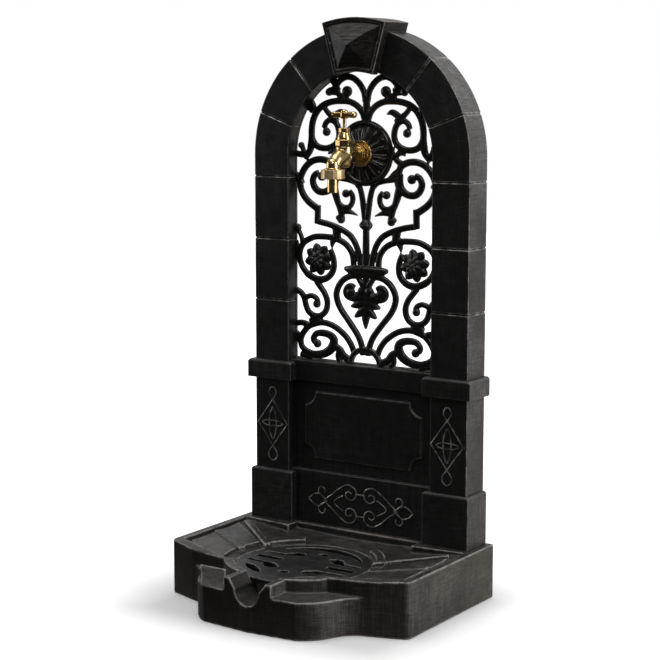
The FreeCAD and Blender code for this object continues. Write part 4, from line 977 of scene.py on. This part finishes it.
def sillPiece():   # the sill and the small round arch that stands on it
    sill = block("panelSill", [(-149, 22), (149, 22), (149, 27), (-149, 27)], 343, 358, 1.2)
    profile = filleted([(-1, 20, 1.2), (1, 20, 1.2), (1, 27, 0.5), (-1, 27, 0.5)], 3)
    turns = np.linspace(0, math.pi, 60)
    verts = [at((26.8 + 4.2 * p.x) * math.cos(t), p.y, 357.5 + (22.2 + 4.8 * p.x) * math.sin(t))
             for t in turns for p in profile]
    return joined("panelSill", [sill, newPiece("sillArch", verts, skinFaces(len(turns), len(profile)))])


dress(rimPiece(), blackCasting)
dress(sillPiece(), scrollCasting)
print("panel ready")


# Rosette: a pleated dome in a plain round rim

rosettePlan = {"hole": 11.6, "hub": 19, "dome": 42.5, "rim": 52, "pleats": 16, "fine": 0.75}


def rosettePiece():
    plan = rosettePlan
    segments = plan["pleats"] * 14
    hub, dome = plan["hub"], plan["dome"]
    radii = list(np.arange(plan["hole"], plan["rim"] - 1.2, plan["fine"])) + [51.0, 51.6, 52.0]
    verts, carved = [], []
    for r in radii:
        for j in range(segments):
            turn = 2 * math.pi * j / segments
            wave = abs(((turn * plan["pleats"] / (2 * math.pi)) % 1.0) - 0.5) * 2   # 1 in a valley, 0 on a ridge
            if r > 51.5:
                high, ridge = 3.0 if r < 51.9 else 2.0, 0.0
            elif r > dome:
                high, ridge = 3.0 + 3.4 * math.sin(math.pi * min(1, (r - dome) / 9.0)) ** 0.8, 0.0
            elif r > hub:
                ridge = min(1, (dome - r) / 5.0) ** 0.6 * min(1, (r - hub) / 3.0)
                high = 3.0 + 8.6 * ((dome - r) / (dome - hub)) ** 0.75
                high -= 6.0 * ridge * (1 - math.sqrt(max(0.0, 1 - wave ** 2.2))) * (0.30 + 0.70 * (r / dome))
            else:
                high, ridge = 11.4, 0.0
            verts.append(at(r * math.cos(turn), 22 - high, tapHigh + r * math.sin(turn)))
            carved.append(0.25 if ridge > 0.3 and wave < 0.16 else 0.0)
    for r in (plan["rim"], plan["hole"]):
        verts += ringOf(0, 21.9, tapHigh, r, segments)
        carved += [0.0] * segments
    return carvedPiece("rosettePlate", verts, hoopFaces(len(radii) + 2, segments), carved)


dress(rosettePiece(), rosetteCasting, ("rosette",))


# Tap: each packed brass piece as a skin with soft edges

brassFinish = {"brass": polishedBrass, "brass_rough": roughBrass}
tapPlan = [   # name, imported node, voxel, smoothing, slot, body
    ("tapCasting", "tap_body", 0.42, 4, "brass", "standpost"),
    ("bonnetNut", "bonnet", 0.32, 2, "brass", "standpost"),
    ("glandNut", "gland_nut", 0.26, 2, "brass", "standpost"),
    ("teeHandle", "tee_handle", 0.30, 4, "brass", "handle"),
    ("handleCap", "handle_screw", 0.22, 2, "brass", "handle"),
    ("unionNut", "outlet_nut", 0.38, 2, "brass_rough", "standpost"),
    ("hoseNozzle", "hose_tail", 0.30, 2, "brass", "standpost"),
    ("backNut", "tap_back_nut", 0.5, 1, "brass_rough", "standpost")]
flangePlan = {"front": 5.0, "hole": 10.6,
              "rows": [(6.0, 20.5, 22.9), (1.4, 20.5, 21.2), (0.5, 20.1, 20.8), (0.0, 19.2, 20.0)]}


def flangePiece(steps=96):   # the eight-sided plate against the rosette
    plan = flangePlan
    rings = [(6.0, plan["hole"], plan["hole"])] + plan["rows"] + [(0.0, plan["hole"], plan["hole"])]
    verts = []
    for back, flat, round_ in rings:
        for j in range(steps):
            turn = 2 * math.pi * j / steps
            off = (turn + math.pi / 8) % (math.pi / 4) - math.pi / 8
            radius = min(flat / math.cos(off), round_) if flat > plan["hole"] else flat
            verts.append(at(radius * math.cos(turn), plan["front"] + back, tapHigh + radius * math.sin(turn)))
    return newPiece("wallFlange", verts, hoopFaces(len(rings), steps), weld=False)


dress(flangePiece(), polishedBrass, ("wall_flange",))
spoutPath = [(-38.5, 690, 12.6), (-46, 690, 12.6), (-54, 688.5, 12.2), (-61, 684.5, 11.6), (-66.5, 679, 11.0),
             (-69.5, 674.5, 10.4), (-70.5, 671.2, 10.0)]   # y, height and radius of the stout spout


def spoutSleeve(steps=40):
    verts = []
    for k, (y, z, radius) in enumerate(spoutPath):
        before, after = spoutPath[max(k - 1, 0)], spoutPath[min(k + 1, len(spoutPath) - 1)]
        way = Vector((0, after[0] - before[0], after[1] - before[1])).normalized()
        lift = Vector((1, 0, 0)).cross(way)
        for j in range(steps):
            c, s = spin(j, steps)
            verts.append(at(*(Vector((0, y, z)) + (Vector((1, 0, 0)) * c + lift * s) * radius)))
    return newPiece("sleeve", verts, skinFaces(len(spoutPath), steps))


def handleBar():
    profile = [(0, -21), (2.8, -21), (5.0, -18), (4.8, -10), (4.5, 0), (4.8, 10), (5.0, 18), (2.8, 21), (0, 21)]
    return turnedPiece("bar", profile, at(0, -38.5, 754), (1, 0, 0), 0.6, 40)


tapExtras = {"tapCasting": spoutSleeve, "teeHandle": handleBar}
for name, packed, voxel, smooth, slot, body in tapPlan:
    more = [tapExtras[name]()] if name in tapExtras else []
    dress(fromFrame(name, packed, voxel, smooth, more), brassFinish[slot], (packed,), body)

smallParts = [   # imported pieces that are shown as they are
    (polishedBrass, "spindle", "jumper_valve"), (blackRubber, "jumper_washer", "hose_washer", "tap_washer"),
    (redFibre, "bonnet_washer", "gland_packing"),
    (zincPlate, "panel_screws", "apron_screws", "keystone_screws", "frame_bolts", "frame_washers", "frame_nuts")]
for material, *names in smallParts:
    for name in names:
        coat(nodes[name].data, material)
print("tap ready")
